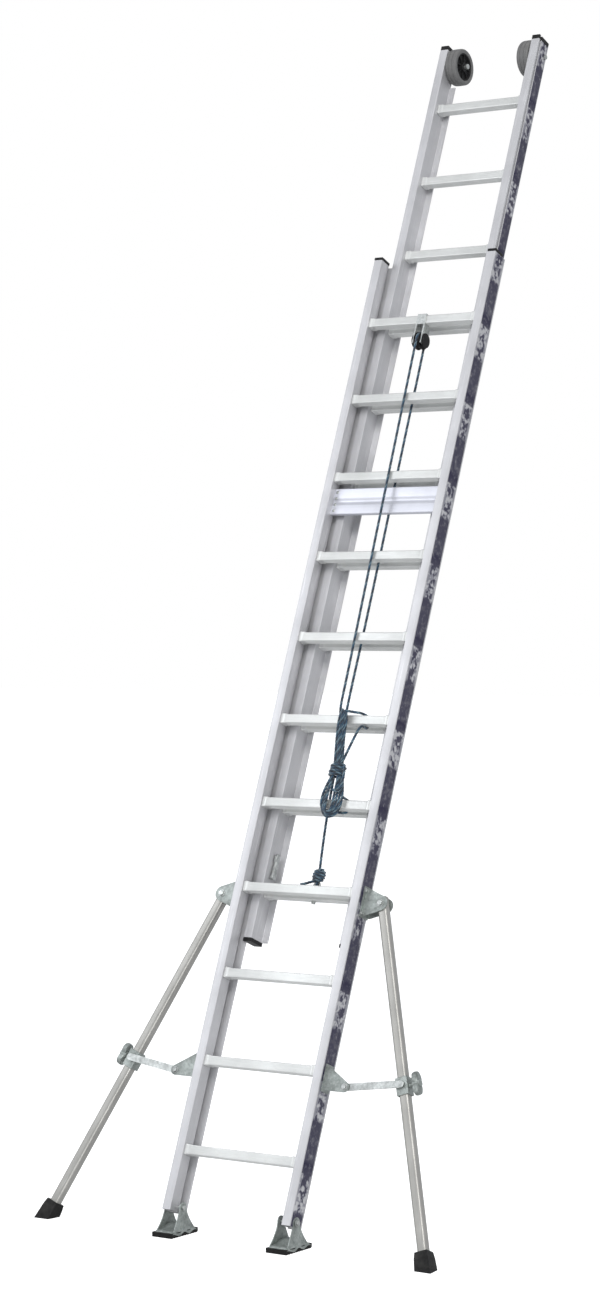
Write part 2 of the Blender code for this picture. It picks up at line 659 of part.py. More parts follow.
def leg_tip(word, side, hinge):
    """A tapered rubber foot moulded onto the leg's end, cut level with the floor."""
    top = TIP_SOCKET - LEG_LENGTH
    shape = bmesh.new()
    rings = []
    sections = ((0.0, 0.0205, 0.0200), (0.020, 0.0235, 0.0225), (TIP_LENGTH, 0.0265, 0.0250))
    for drop, half_width, half_thick in sections:
        corners = (
            (-half_width, -half_thick), (half_width, -half_thick),
            (half_width, half_thick), (-half_width, half_thick),
        )
        rings.append([shape.verts.new((across, depth, top - drop)) for across, depth in corners])
    shape.faces.new(rings[0])
    shape.faces.new(rings[-1])
    for upper, lower in zip(rings, rings[1:]):
        for corner in range(4):
            following = (corner + 1) % 4
            shape.faces.new((upper[corner], upper[following], lower[following], lower[corner]))
    bmesh.ops.recalc_face_normals(shape, faces=shape.faces)
    half_width = LEG_WIDTH / 2 + GAP
    half_thick = LEG_THICKNESS / 2 + GAP
    socket = block((-half_width, -half_thick, -LEG_LENGTH - GAP), (half_width, half_thick, top + 0.01))
    below = block((-0.3, -0.3, -0.3), (0.3, 0.3, 0.0))
    to_leg = (
        Matrix.Rotation(side * LEG_ANGLE, 4, "Y")
        @ Matrix.Translation((-side * LEG_PIVOT_ACROSS, -LEG_DEPTH, -LEG_PIVOT_HEIGHT))
        @ Matrix.Rotation(LEAN_BACK, 4, "X")
        @ Matrix.Translation((side * TIP_ACROSS, 0.0, -FOOT_DROP))
    )
    cuts = (socket, moved(below, turn=to_leg))
    add_part(f"stabiliser_foot_{word}", shape, "black_rubber", hinge, cuts=cuts)


def leg_clamp(word, side, hinge):
    """The sleeve that slides on the leg, with its clamping bolt and wing knob on the outside."""
    half = CLAMP_LENGTH / 2
    inner_width = LEG_WIDTH / 2 + GAP
    inner_thick = LEG_THICKNESS / 2 + GAP
    wall = 0.003
    outside = inner_width + wall
    sleeve = block((-outside, -inner_thick - wall, -half), (outside, inner_thick + wall, half))
    bore = block((-inner_width, -inner_thick, -half - 0.01), (inner_width, inner_thick, half + 0.01))
    bolt = rod(0.006, side * (outside - 0.001), side * (outside + 0.030), 16)
    hub = rod(0.012, side * (outside + 0.012), side * (outside + 0.036), 20)
    wing = arc((0.0, 0.026), 0.009, 0.0, 180.0, 8) + arc((0.0, -0.026), 0.009, 180.0, 360.0, 8)
    wings = prism(wing, side * (outside + 0.016), side * (outside + 0.032), "X")
    frame = empty(f"clamp_{word}_frame", hinge, (0.0, 0.0, -CLAMP_DISTANCE))
    joined = (bolt, hub, wings)
    add_part(f"stabiliser_clamp_{word}", sleeve, "zinc_steel", frame, cuts=(bore,), joined=joined)


def lower_bracket(word, side, parent):
    """A pressed triangular bracket on the base stile with the brace's pivot pin."""
    plate_in = BASE_OUTER + GAP
    across = sorted((side * plate_in, side * (plate_in + 0.004)))
    plate = block(
        (across[0], 0.012, BRACE_PIVOT_HEIGHT - 0.020), (across[1], 0.052, BRACE_PIVOT_HEIGHT + 0.064)
    )
    lobe = arc((BRACE_PIVOT_ACROSS, BRACE_PIVOT_HEIGHT), 0.016, -90.0, 50.0, 8)
    ear = [(side * plate_in, BRACE_PIVOT_HEIGHT - 0.016)]
    ear += [(side * along, height) for along, height in lobe]
    ear += [(side * along, BRACE_PIVOT_HEIGHT + 0.060) for along in (plate_in + 0.008, plate_in)]
    ear_back = BRACE_FRONT - 0.0005
    plate_ear = prism(ear, ear_back - 0.0035, ear_back, "Y")
    pin_start = ear_back - 0.0090
    profile = [
        (pin_start, 0.0), (pin_start, 0.0075), (ear_back - 0.003, 0.0075), (ear_back - 0.003, 0.004),
        (BRACE_FRONT + BRACE_THICKNESS + 0.0012, 0.004), (BRACE_FRONT + BRACE_THICKNESS + 0.0012, 0.0),
    ]
    through = Matrix.Rotation(math.pi / 2, 4, "Z")
    centre = (side * BRACE_PIVOT_ACROSS, 0.0, BRACE_PIVOT_HEIGHT)
    pin = moved(turned(profile, 20, hollow=False), centre, through)
    add_part(f"brace_bracket_{word}", plate, "zinc_steel", parent, joined=(plate_ear, pin))


def brace_bar(word, side, parent):
    """The flat bar from the lower bracket to the clamp."""
    half = 0.011
    outline = arc((0.0, 0.0), half, 90.0, 270.0, 8) + arc((BRACE_LENGTH, 0.0), half, -90.0, 90.0, 8)
    outline = [(side * along, height) for along, height in outline]
    bar = prism(outline, 0.0, BRACE_THICKNESS, "Y")
    bore = moved(rod(0.0043, -0.02, 0.02), turn=Matrix.Rotation(math.pi / 2, 4, "Z"))
    location = (side * BRACE_PIVOT_ACROSS, BRACE_FRONT, BRACE_PIVOT_HEIGHT)
    pivot = empty(f"brace_{word}_axis", parent, location, (0.0, -side * BRACE_REST, 0.0))
    add_part(f"stabiliser_brace_{word}", bar, "zinc_steel", pivot, cuts=(bore,))


def stabiliser(word, side, parent):
    """One folding stabiliser, swung out."""
    upper_bracket(word, side, parent)
    location = (side * LEG_PIVOT_ACROSS, LEG_DEPTH, LEG_PIVOT_HEIGHT)
    hinge = empty(f"leg_{word}_axis", parent, location, (0.0, -side * LEG_ANGLE, 0.0))
    leg_tube(word, hinge)
    leg_tip(word, side, hinge)
    leg_clamp(word, side, hinge)
    lower_bracket(word, side, parent)
    brace_bar(word, side, parent)


# ---------------------------------------------------------------- assembly

def lean_frame():
    """The empty that leans the ladder, its footprint centred on the origin."""
    along = math.cos(LEAN_FROM_FLOOR)
    through = math.sin(LEAN_FROM_FLOOR)
    sole_front = FOOT_PIVOT_HEIGHT * along + FOOT_PIVOT_DEPTH * through - SOLE_LENGTH / 2
    roller_rear = ROLLER_HEIGHT * along + ROLLER_DEPTH * through + ROLLER_RADIUS
    centre = -(sole_front + roller_rear) / 2
    return empty("ladder_lean", None, (0.0, centre, FOOT_DROP), (-LEAN_BACK, 0.0, 0.0))


def main():
    """Build the whole ladder."""
    clear_scene()
    base = empty("base_section", lean_frame(), (0.0, 0.0, 0.0))
    fly = empty("fly_section", base, (0.0, 0.0, 0.0))
    for word, side in SIDES:
        base_stile(f"base_stile_{word}", side, base)
        base_top_cap(f"base_cap_{word}", side, base)
        foot(word, side, base)
        stabiliser(word, side, base)
        fly_stile(f"fly_stile_{word}", side, fly)
        fly_cap(f"fly_cap_{word}", side, FLY_TOP, 1, FLY_CAP_THICKNESS, fly)
        fly_cap(f"fly_plug_{word}", side, FLY_BOTTOM, -1, FLY_PLUG_THICKNESS, fly)
        roller_axle(f"roller_axle_{word}", side, fly)
        wall_roller(f"wall_roller_{word}", side, fly)
        latch_pawl(f"latch_pawl_{word}", side, fly)
    rungs("base_rung", BASE_OUTER - BASE_BOX_WIDTH, BASE_RUNG_DEPTH, 1, base)
    rungs("fly_rung", FLY_OUTER - FLY_BOX_WIDTH, FLY_RUNG_DEPTH, 1 + RUNGS_EXTENDED, fly)
    brace_plate(base)
    pulley_bracket(base)
    pulley_sheave(base)
    rope_strands(base)
    rope_hank(base)
    eye_bolt(fly)


main()
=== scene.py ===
import json
import math

import bmesh
import bpy
from mathutils import Matrix, Vector


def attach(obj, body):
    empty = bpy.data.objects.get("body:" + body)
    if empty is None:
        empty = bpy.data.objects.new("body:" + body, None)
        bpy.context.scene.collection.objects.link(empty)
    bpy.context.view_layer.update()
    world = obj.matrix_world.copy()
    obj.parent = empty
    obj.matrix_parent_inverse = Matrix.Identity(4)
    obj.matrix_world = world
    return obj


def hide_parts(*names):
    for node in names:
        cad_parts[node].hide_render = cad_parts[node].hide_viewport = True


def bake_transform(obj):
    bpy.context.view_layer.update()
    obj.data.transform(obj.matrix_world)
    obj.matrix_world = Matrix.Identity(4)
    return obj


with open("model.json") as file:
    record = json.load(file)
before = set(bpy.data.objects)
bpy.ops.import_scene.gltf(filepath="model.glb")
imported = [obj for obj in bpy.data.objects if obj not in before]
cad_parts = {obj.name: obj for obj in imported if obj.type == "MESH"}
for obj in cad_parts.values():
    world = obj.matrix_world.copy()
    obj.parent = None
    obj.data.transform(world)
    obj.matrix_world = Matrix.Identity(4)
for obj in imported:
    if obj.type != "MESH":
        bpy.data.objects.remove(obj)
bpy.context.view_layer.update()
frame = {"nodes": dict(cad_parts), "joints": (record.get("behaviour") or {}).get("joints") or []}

# The ladder's own frame: X across, Y through its depth towards the wall, Z up the stiles. The slide
# of the fly section gives the slope, and a foot's pivot, 75 mm up the stile and 30 mm deep, the origin.
joints = {joint["name"]: joint for joint in frame["joints"]}
slope = Vector(joints["fly_slide"]["axis"]).normalized()
depth = Vector((0.0, slope.z, -slope.y))
foot_pivot = Vector(joints["foot_tilt_right"]["pos_m"])
ladder_origin = Vector((0.0, foot_pivot.y, foot_pivot.z)) - 0.075 * slope - 0.030 * depth
lean_back = math.atan2(slope.y, slope.z)
ladder = Matrix.Translation(ladder_origin) @ Matrix.Rotation(-lean_back, 4, "X")
sides = (("left", -1), ("right", 1))


# ------------------------------------------------------------------ camera, floor and light
# A plain studio: pale floor and walls, a broad key light from the front right and a wide fill.
# The camera stands at chest height to the right of the ladder and looks level across it.
camera = bpy.data.objects.new("camera", bpy.data.cameras.new("camera"))
camera.data.sensor_fit = "VERTICAL"
camera.data.sensor_height = 36.0
camera.data.lens = 83.14
camera.data.clip_end = 200.0
camera.location = (5.2665, ladder_origin.y - 7.2978, ladder_origin.z + 1.8265)
camera.rotation_euler = (math.radians(89.462), 0.0, 0.5987)
bpy.context.scene.collection.objects.link(camera)
bpy.context.scene.camera = camera
bpy.context.scene.view_settings.view_transform = "Standard"


def add_node(tree, kind, inputs=None, **settings):
    """A node with its settings, and its inputs linked or set by name."""
    made = tree.nodes.new(kind)
    for key, value in settings.items():
        setattr(made, key, value)
    for key, value in (inputs or {}).items():
        if isinstance(value, bpy.types.NodeSocket):
            tree.links.new(value, made.inputs[key])
        else:
            made.inputs[key].default_value = value
    return made


def studio_light(name, place, target, size, power, colour):
    light = bpy.data.lights.new(name, "AREA")
    light.shape = "DISK"
    light.size = size
    light.energy = power
    light.color = colour
    lamp = bpy.data.objects.new(name, light)
    lamp.location = place
    lamp.rotation_euler = (Vector(target) - Vector(place)).to_track_quat("-Z", "Y").to_euler()
    bpy.context.scene.collection.objects.link(lamp)


studio_light("key_light", (4.0, -5.0, 7.5), (0.0, 0.2, 3.0), 3.5, 360.0, (1.0, 0.99, 0.97))
studio_light("fill_light", (-5.5, -5.0, 5.5), (0.0, 0.2, 3.0), 4.0, 150.0, (0.95, 0.97, 1.0))
studio_light("under_light", (2.5, -4.5, 0.4), (0.0, 0.4, 3.4), 2.5, 130.0, (1.0, 1.0, 1.0))

world = bpy.data.worlds.new("studio")
bpy.context.scene.world = world
world.use_nodes = True
sky = world.node_tree
ray = add_node(sky, "ShaderNodeLightPath")
lit = sky.nodes["Background"]
lit.inputs["Color"].default_value = (0.94, 0.96, 1.0, 1.0)
lit.inputs["Strength"].default_value = 0.72
seen = add_node(sky, "ShaderNodeBackground", {"Color": (1.0, 1.0, 1.0, 1.0), "Strength": 1.0})
both = add_node(
    sky, "ShaderNodeMixShader", {0: ray.outputs["Is Camera Ray"], 1: lit.outputs[0], 2: seen.outputs[0]}
)
sky.links.new(both.outputs[0], sky.nodes["World Output"].inputs["Surface"])

floor_mesh = bpy.data.meshes.new("floor")
floor_mesh.from_pydata([(-60, -60, 0), (60, -60, 0), (60, 60, 0), (-60, 60, 0)], [], [(0, 1, 2, 3)])
floor = bpy.data.objects.new("floor", floor_mesh)
bpy.context.scene.collection.objects.link(floor)
floor_paint = bpy.data.materials.new("pale floor")
floor_paint.use_nodes = True
paint = floor_paint.node_tree
matt = add_node(paint, "ShaderNodeBsdfDiffuse", {"Color": (0.72, 0.72, 0.72, 1.0)})
glow = add_node(paint, "ShaderNodeEmission", {"Color": (1.0, 1.0, 1.0, 1.0), "Strength": 0.70})
shown = add_node(paint, "ShaderNodeAddShader", {0: matt.outputs[0], 1: glow.outputs[0]})
straight = add_node(paint, "ShaderNodeLightPath").outputs["Is Camera Ray"]
mixed = add_node(paint, "ShaderNodeMixShader", {0: straight, 1: matt.outputs[0], 2: shown.outputs[0]})
paint.links.new(mixed.outputs[0], paint.nodes["Material Output"].inputs["Surface"])
paint.nodes.remove(paint.nodes["Principled BSDF"])
floor_mesh.materials.append(floor_paint)


# ------------------------------------------------------------------ hoisting rope
# A 9 mm three-strand polyester rope, dark blue with a lighter tracer strand. One end is tied to the
# eye bolt on the fly's lowest rung; it runs over the pulley and down the front, and the spare length
# is hitched round the sixth rung, folded into a hank and bound.
rope_radius = 0.0045
rope_lay = 0.034
sheave = Vector(joints["sheave_turn"]["pos_m"])
sheave_local = ladder.inverted() @ sheave
pitch_radius = 0.026
lowest_rung = 0.25
rung_pitch = 0.28
front_depth = sheave_local.y - pitch_radius
rear_depth = sheave_local.y + pitch_radius


def rung_level(number):
    """Height up the stile of a rung level."""
    return lowest_rung + rung_pitch * (number - 1)


def new_material(name, **constants):
    """A material with its shader; constants are sockets that are the same all over the surface."""
    made = bpy.data.materials.new(name)
    made.use_nodes = True
    shader = made.node_tree.nodes["Principled BSDF"]
    for key, value in constants.items():
        shader.inputs[key.replace("_", " ").title().replace("Ior", "IOR")].default_value = value
    return made, made.node_tree, shader


def add_bump(tree, shader, height, strength, distance):
    bump = add_node(tree, "ShaderNodeBump", {"Height": height, "Strength": strength, "Distance": distance})
    tree.links.new(bump.outputs["Normal"], shader.inputs["Normal"])


def ramp(tree, factor, *stops):
    """A colour ramp; each stop is a position and a colour or a grey."""
    made = add_node(tree, "ShaderNodeValToRGB", {"Fac": factor})
    elements = made.color_ramp.elements
    while len(elements) < len(stops):
        elements.new(0.5)
    for element, (position, colour) in zip(elements, stops):
        element.position = position
        element.color = (colour, colour, colour, 1.0) if isinstance(colour, float) else (*colour, 1.0)
    return made.outputs["Color"]


def mix_colour(tree, factor, first, second, blend="MIX"):
    made = add_node(tree, "ShaderNodeMix", data_type="RGBA", blend_type=blend)
    for socket, value in ((made.inputs[0], factor), (made.inputs[6], first), (made.inputs[7], second)):
        if isinstance(value, bpy.types.NodeSocket):
            tree.links.new(value, socket)
        elif isinstance(value, tuple):
            socket.default_value = (*value, 1.0)
        else:
            socket.default_value = value
    return made.outputs[2]


def noise(tree, vector, scale, detail=3.0, roughness=0.5):
    made = add_node(
        tree, "ShaderNodeTexNoise",
        {"Vector": vector, "Scale": scale, "Detail": detail, "Roughness": roughness}
    )
    return made.outputs["Fac"]


def calculate(tree, operation, first, second=0.0, clamp=False):
    return add_node(
        tree, "ShaderNodeMath", {0: first, 1: second}, operation=operation, use_clamp=clamp
    ).outputs[0]


def rope_material():
    made, tree, shader = new_material(
        "laid polyester rope", roughness=0.72, sheen_weight=0.35, sheen_roughness=0.5
    )
    strand = add_node(tree, "ShaderNodeAttribute", attribute_name="strand").outputs["Fac"]
    yarn = add_node(tree, "ShaderNodeAttribute", attribute_name="yarn").outputs["Fac"]
    along = add_node(tree, "ShaderNodeAttribute", attribute_name="along").outputs["Fac"]
    base = ramp(
        tree, strand, (0.0, (0.004, 0.022, 0.048)), (0.30, (0.010, 0.060, 0.120)),
        (0.60, (0.11, 0.19, 0.24))
    )
    tree.nodes[-1].color_ramp.interpolation = "CONSTANT"
    slant = calculate(
        tree, "ADD", calculate(tree, "MULTIPLY", yarn, 30.0), calculate(tree, "MULTIPLY", along, 420.0)
    )
    yarns = calculate(tree, "SINE", slant)
    coordinates = add_node(tree, "ShaderNodeTexCoord").outputs["Object"]
    fuzz = noise(tree, coordinates, 900.0)
    # Painted shade: the colour darkens to 55% in the grooves between the yarns, where the bump sinks.
    yarn_groove_painted_shade = ramp(tree, yarns, (0.0, 0.55), (0.8, 1.0))
    tone = mix_colour(tree, 1.0, base, yarn_groove_painted_shade, "MULTIPLY")
    worn = ramp(tree, noise(tree, coordinates, 22.0), (0.35, 0.8), (0.7, 1.12))
    tree.links.new(mix_colour(tree, 1.0, tone, worn, "MULTIPLY"), shader.inputs["Base Color"])
    add_bump(tree, shader, calculate(tree, "ADD", yarns, fuzz), 0.5, 0.0005)
    return made


def rope_tree():
    """Geometry nodes: a three-lobed section swept along a curve and twisted at the rope's lay."""
    tree = bpy.data.node_groups.new("laid rope", "GeometryNodeTree")
    face = tree.interface
    face.new_socket("Route", in_out="INPUT", socket_type="NodeSocketGeometry")
    for name in ("Radius", "Lay"):
        face.new_socket(name, in_out="INPUT", socket_type="NodeSocketFloat")
    face.new_socket("Material", in_out="INPUT", socket_type="NodeSocketMaterial")
    face.new_socket("Rope", in_out="OUTPUT", socket_type="NodeSocketGeometry")
    given = add_node(tree, "NodeGroupInput").outputs
    step = calculate(tree, "DIVIDE", given["Lay"], 9.0)
    route = add_node(
        tree, "GeometryNodeResampleCurve", {"Curve": given["Route"], "Length": step}, mode="LENGTH"
    )
    reached = add_node(tree, "GeometryNodeSplineParameter").outputs["Length"]
    turns = calculate(tree, "DIVIDE", reached, given["Lay"])
    twist = calculate(tree, "MULTIPLY", turns, math.tau)
    tilted = add_node(tree, "GeometryNodeSetCurveTilt", {"Curve": route.outputs[0], "Tilt": twist})
    measured = add_node(
        tree, "GeometryNodeStoreNamedAttribute",
        {"Geometry": tilted.outputs[0], "Name": "along", "Value": reached}, domain="POINT"
    )
    circle = add_node(tree, "GeometryNodeCurvePrimitiveCircle", {"Resolution": 24, "Radius": 1.0})
    place = add_node(tree, "GeometryNodeInputPosition").outputs[0]
    split = add_node(tree, "ShaderNodeSeparateXYZ", {0: place}).outputs
    angle = calculate(tree, "ARCTAN2", split["Y"], split["X"])
    share = calculate(
        tree, "FRACT",
        calculate(tree, "ADD", calculate(tree, "DIVIDE", angle, math.tau), 1.0)
    )
    strand = calculate(
        tree, "DIVIDE",
        calculate(tree, "FLOOR", calculate(tree, "MULTIPLY", share, 2.999)), 3.0
    )
    lobes = calculate(
        tree, "ABSOLUTE", calculate(tree, "SINE", calculate(tree, "MULTIPLY", angle, 1.5))
    )
    swell = calculate(
        tree, "ADD",
        calculate(tree, "MULTIPLY", calculate(tree, "POWER", lobes, 0.65), 0.26), 0.74
    )
    reach = calculate(tree, "MULTIPLY", swell, given["Radius"])
    lobed_place = add_node(tree, "ShaderNodeVectorMath", {0: place, "Scale": reach}, operation="SCALE")
    section = add_node(
        tree, "GeometryNodeSetPosition", {"Geometry": circle.outputs[0], "Position": lobed_place.outputs[0]}
    )
    marked = add_node(
        tree, "GeometryNodeStoreNamedAttribute",
        {"Geometry": section.outputs[0], "Name": "strand", "Value": strand}, domain="POINT"
    )
    yarned = add_node(
        tree, "GeometryNodeStoreNamedAttribute",
        {"Geometry": marked.outputs[0], "Name": "yarn", "Value": share}, domain="POINT"
    )
    swept = add_node(
        tree, "GeometryNodeCurveToMesh",
        {"Curve": measured.outputs[0], "Profile Curve": yarned.outputs[0], "Fill Caps": True}
    )
    real = add_node(tree, "GeometryNodeRealizeInstances", {0: swept.outputs[0]})
    smooth = add_node(
        tree, "GeometryNodeSetShadeSmooth", {"Geometry": real.outputs[0], "Shade Smooth": True}
    )
    coated = add_node(
        tree, "GeometryNodeSetMaterial", {"Geometry": smooth.outputs[0], "Material": given["Material"]}
    )
    add_node(tree, "NodeGroupOutput", {"Rope": coated.outputs[0]})
    return tree


def grow(name, source, tree, inputs, piece_parent_body, *replaced):
    """Run a geometry nodes tree on an object, keep its result as a plain mesh and ride it on a body."""
    modifier = source.modifiers.new("grow", "NODES")
    modifier.node_group = tree
    for item in tree.interface.items_tree:
        if item.in_out == "INPUT" and item.name in inputs:
            modifier[item.identifier] = inputs[item.name]
    bpy.context.view_layer.update()
    ready = source.evaluated_get(bpy.context.evaluated_depsgraph_get())
    mesh = bpy.data.meshes.new_from_object(ready)
    bpy.data.objects.remove(source, do_unlink=True)
    piece = bpy.data.objects.new(name, mesh)
    bpy.context.scene.collection.objects.link(piece)
    if piece_parent_body:
        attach(piece, piece_parent_body)
    if replaced:
        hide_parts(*replaced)
    return piece


def route_curve(name, points):
    """A smooth curve object through points given in the ladder's frame."""
    data = bpy.data.curves.new(name, "CURVE")
    data.dimensions = "3D"
    data.resolution_u = 8
    spline = data.splines.new("NURBS")
    spline.points.add(len(points) - 1)
    for target, point in zip(spline.points, points):
        target.co = (*(ladder @ Vector(point)), 1.0)
    spline.order_u = 3
    spline.use_endpoint_u = True
    made = bpy.data.objects.new(name, data)
    bpy.context.scene.collection.objects.link(made)
    return made


def around(centre, radius, first, last, steps):
    """Points round a circle in the plane of depth and height; angles in degrees from the wall side."""
    points = []
    for number in range(steps + 1):
        angle = math.radians(first + (last - first) * number / steps)
        points.append(
            (centre[0], centre[1] + radius * math.cos(angle), centre[2] + radius * math.sin(angle))
        )
    return points


rope = rope_material()
laid = rope_tree()
rope_inputs = {"Radius": rope_radius, "Lay": rope_lay, "Material": rope}

# The front strand: over the sheave and straight down in front of the rungs, into the hank. Its first
# turns hang from the sixth rung to the fifth, side by side above the waist and open below it.
over_sheave = around((0.0, sheave_local.y, sheave_local.z), pitch_radius, 90.0, 180.0, 8)
down_front = [
    (0.016 * (2.94 - height) / 1.2, front_depth, height) for height in (2.94, 2.7, 2.4, 2.1, 1.9, 1.78)
]
hank_points = [(0.016, front_depth - 0.001, 1.72), (0.020, -0.003, 1.685)]
for turn in range(4):
    deep = -0.0025 - 0.0050 * turn
    inward = 0.0070 * turn
    hank_points += [
        (0.0265 + 0.35 * inward, deep, 1.655), (0.0285 + 0.4 * inward, deep, 1.60),
        (0.042 + 0.4 * inward, deep, 1.52),
        (0.052 + 0.3 * inward, deep - 0.001, 1.470), (0.043 + 0.5 * inward, deep, 1.43),
        (0.031 + inward, deep, 1.385),
        (0.030 + inward, deep, 1.352), (0.045 + 0.6 * inward, deep, 1.328 + 0.3 * inward),
        (0.066, deep - 0.001, 1.3235 + 0.6 * inward), (0.087 - 0.6 * inward, deep, 1.332 + 0.3 * inward),
        (0.0985 - inward, deep, 1.360), (0.0975 - inward, deep, 1.400), (0.088 - 0.5 * inward, deep, 1.440),
        (0.079 - 0.3 * inward, deep - 0.001, 1.472), (0.069 - 0.4 * inward, deep - 0.002, 1.52),
        (0.0560 - 0.45 * inward, deep - 0.002, 1.60), (0.0545 - 0.45 * inward, deep - 0.002, 1.650),
        (0.041, deep - 0.003, 1.6800 - 0.25 * inward),
    ]
front_rope = grow(
    "rope_front", route_curve("front_route", over_sheave + down_front + hank_points), laid, rope_inputs,
    "base", "rope_strands"
)

# The hitches: one end of the spare rope goes up from the waist, round the sixth rung and back along
# its top; the other goes down, round the fifth rung and up again behind the hank.
upper_hitch = [
    (0.066, -0.010, 1.470), (0.078, -0.010, 1.510), (0.092, -0.007, 1.565), (0.103, -0.003, 1.610),
    (0.107, 0.004, 1.628),
    (0.108, 0.020, 1.6295), (0.107, 0.038, 1.630), (0.1065, 0.0435, 1.640), (0.105, 0.0435, 1.662),
    (0.103, 0.036, 1.6705), (0.100, 0.020, 1.6710), (0.094, 0.006, 1.6712), (0.082, 0.001, 1.671),
    (0.062, -0.004, 1.672),
    (0.044, -0.008, 1.673),
]
lower_hitch = [
    (0.060, -0.019, 1.468), (0.046, -0.020, 1.430), (0.032, -0.016, 1.390), (0.030, -0.009, 1.358),
    (0.036, 0.000, 1.346),
    (0.050, 0.012, 1.3490), (0.072, 0.026, 1.3490), (0.094, 0.039, 1.350), (0.098, 0.0435, 1.360),
    (0.098, 0.0435, 1.384),
    (0.097, 0.036, 1.3910), (0.096, 0.016, 1.3915), (0.094, 0.003, 1.393), (0.088, -0.006, 1.404),
    (0.080, -0.008, 1.440),
    (0.074, -0.010, 1.468),
]
for word, points in (("upper", upper_hitch), ("lower", lower_hitch)):
    hitch = grow(
        f"rope_hitch_{word}", route_curve(f"{word}_route", points), laid, rope_inputs, "base", "rope_hank"
    )

# The binding: turns round the waist of the hank, with its tail curled up below.
binding_points = []
for number in range(4 * 16 + 1):
    angle = math.tau * number / 16
    wobble = 0.002 * math.sin(1.7 * angle)
    place = (
        0.065 + 0.0245 * math.cos(angle) + wobble, -0.0105 + 0.0150 * math.sin(angle),
        1.4535 + 0.0096 * number / 16
    )
    binding_points.append(place)
tail = [
    (0.094, -0.018, 1.478), (0.100, -0.021, 1.450), (0.0985, -0.021, 1.415), (0.086, -0.023, 1.399),
    (0.071, -0.023, 1.407)
]
binding_rope = grow(
    "rope_binding", route_curve("binding_route", binding_points + tail), laid, rope_inputs, "base"
)

# The rear strand: from the sheave down behind the base rungs to the eye bolt, through the eye, and
# back up to a bound knot. It rides on neither section.
over_back = around((0.0, sheave_local.y, sheave_local.z), pitch_radius, 90.0, 0.0, 8)
down_back = [
    (0.001, rear_depth, 2.9), (0.003, rear_depth, 2.5), (0.007, rear_depth, 2.0), (0.004, rear_depth, 1.7),
    (0.014, rear_depth, 1.4), (0.017, rear_depth + 0.006, 1.3), (0.016, 0.074, 1.21),
]
eye_height = rung_level(4) + 0.034
through_eye = [
    (0.0165, 0.0805, 1.170), (0.0185, 0.078, 1.140), (0.017, 0.0785, eye_height - 0.002),
    (0.015, 0.085, eye_height - 0.006), (0.013, 0.0915, eye_height), (0.0125, 0.093, 1.142),
    (0.013, 0.094, 1.158),
]
knot = []
for number in range(4 * 14 + 1):
    angle = math.tau * number / 14 + 1.2
    bulge = 0.0130 + 0.0045 * math.sin(math.pi * number / 56)
    tilt = 0.006 * math.sin(angle)
    knot.append(
        (
            0.0145 + bulge * math.cos(angle), 0.0850 + bulge * math.sin(angle),
            1.176 + tilt - 0.0088 * number / 14
        )
    )
knot += [(0.000, 0.072, 1.134), (-0.014, 0.069, 1.127), (-0.029, 0.069, 1.1235), (-0.036, 0.070, 1.123)]
rear_points = over_back + down_back + through_eye + knot
rear_rope = grow("rope_rear", route_curve("rear_route", rear_points), laid, rope_inputs, None)
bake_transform(rear_rope)


# ------------------------------------------------------------------ stiles
# Extruded aluminium stiles, mill finish. The base stile is a box with a recess on its wall side and
# the lip that holds the fly; the fly stile is a deeper box whose outer groove runs on that lip.
# A printed band of plain dark bars and blotches runs down the outer faces.
def filleted(outline, radius, steps=3):
    """An outline with every corner rounded."""
    points = []
    count = len(outline)
    for index, corner in enumerate(outline):
        corner = Vector(corner)
        before = Vector(outline[index - 1])
        after = Vector(outline[(index + 1) % count])
        cut = min(radius, (before - corner).length * 0.45, (after - corner).length * 0.45)
        first = corner + (before - corner).normalized() * cut
        last = corner + (after - corner).normalized() * cut
        for step in range(steps + 1):
            part = step / steps
            points.append(
                tuple(first * (1 - part) ** 2 + corner * 2 * part * (1 - part) + last * part ** 2)
            )
    return points


def hollow_section(shape, outer, inner, start, end):
    """Add an extrusion along Z with a hollow through it to a bmesh."""
    loops = []
    for outline in (outer, inner):
        points = [shape.verts.new((across, deep, start)) for across, deep in outline]
        loops += [shape.edges.new(pair) for pair in zip(points, points[1:] + points[:1])]
    lid = bmesh.ops.triangle_fill(shape, edges=loops, use_beauty=True, use_dissolve=False)
    faces = [item for item in lid["geom"] if isinstance(item, bmesh.types.BMFace)]
    pulled = bmesh.ops.extrude_face_region(shape, geom=faces)
    far = [item for item in pulled["geom"] if isinstance(item, bmesh.types.BMVert)]
    bmesh.ops.translate(shape, vec=(0.0, 0.0, end - start), verts=far)


def keep_mesh(name, shape, material, body, *replaced, local=True):
    """Turn a bmesh in the ladder's frame into a piece that rides on a body."""
    bmesh.ops.recalc_face_normals(shape, faces=shape.faces)
    mesh = bpy.data.meshes.new(name)
    shape.to_mesh(mesh)
    shape.free()
    if local:
        mesh.transform(ladder)
    mesh.materials.append(material)
    mesh.shade_smooth()
    mesh.set_sharp_from_angle(angle=math.radians(32.0))
    piece = bpy.data.objects.new(name, mesh)
    bpy.context.scene.collection.objects.link(piece)
    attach(piece, body)
    if replaced:
        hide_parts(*replaced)
    return piece


def ladder_coordinates(tree):
    """Positions in the ladder's own frame, for patterns that follow the stiles."""
    inverse = ladder.inverted()
    coordinates = add_node(tree, "ShaderNodeTexCoord")
    mapping = add_node(
        tree, "ShaderNodeMapping", {"Vector": coordinates.outputs["Object"]}, vector_type="POINT"
    )
    mapping.inputs["Location"].default_value = inverse.translation
    mapping.inputs["Rotation"].default_value = inverse.to_euler()
    return mapping.outputs["Vector"]


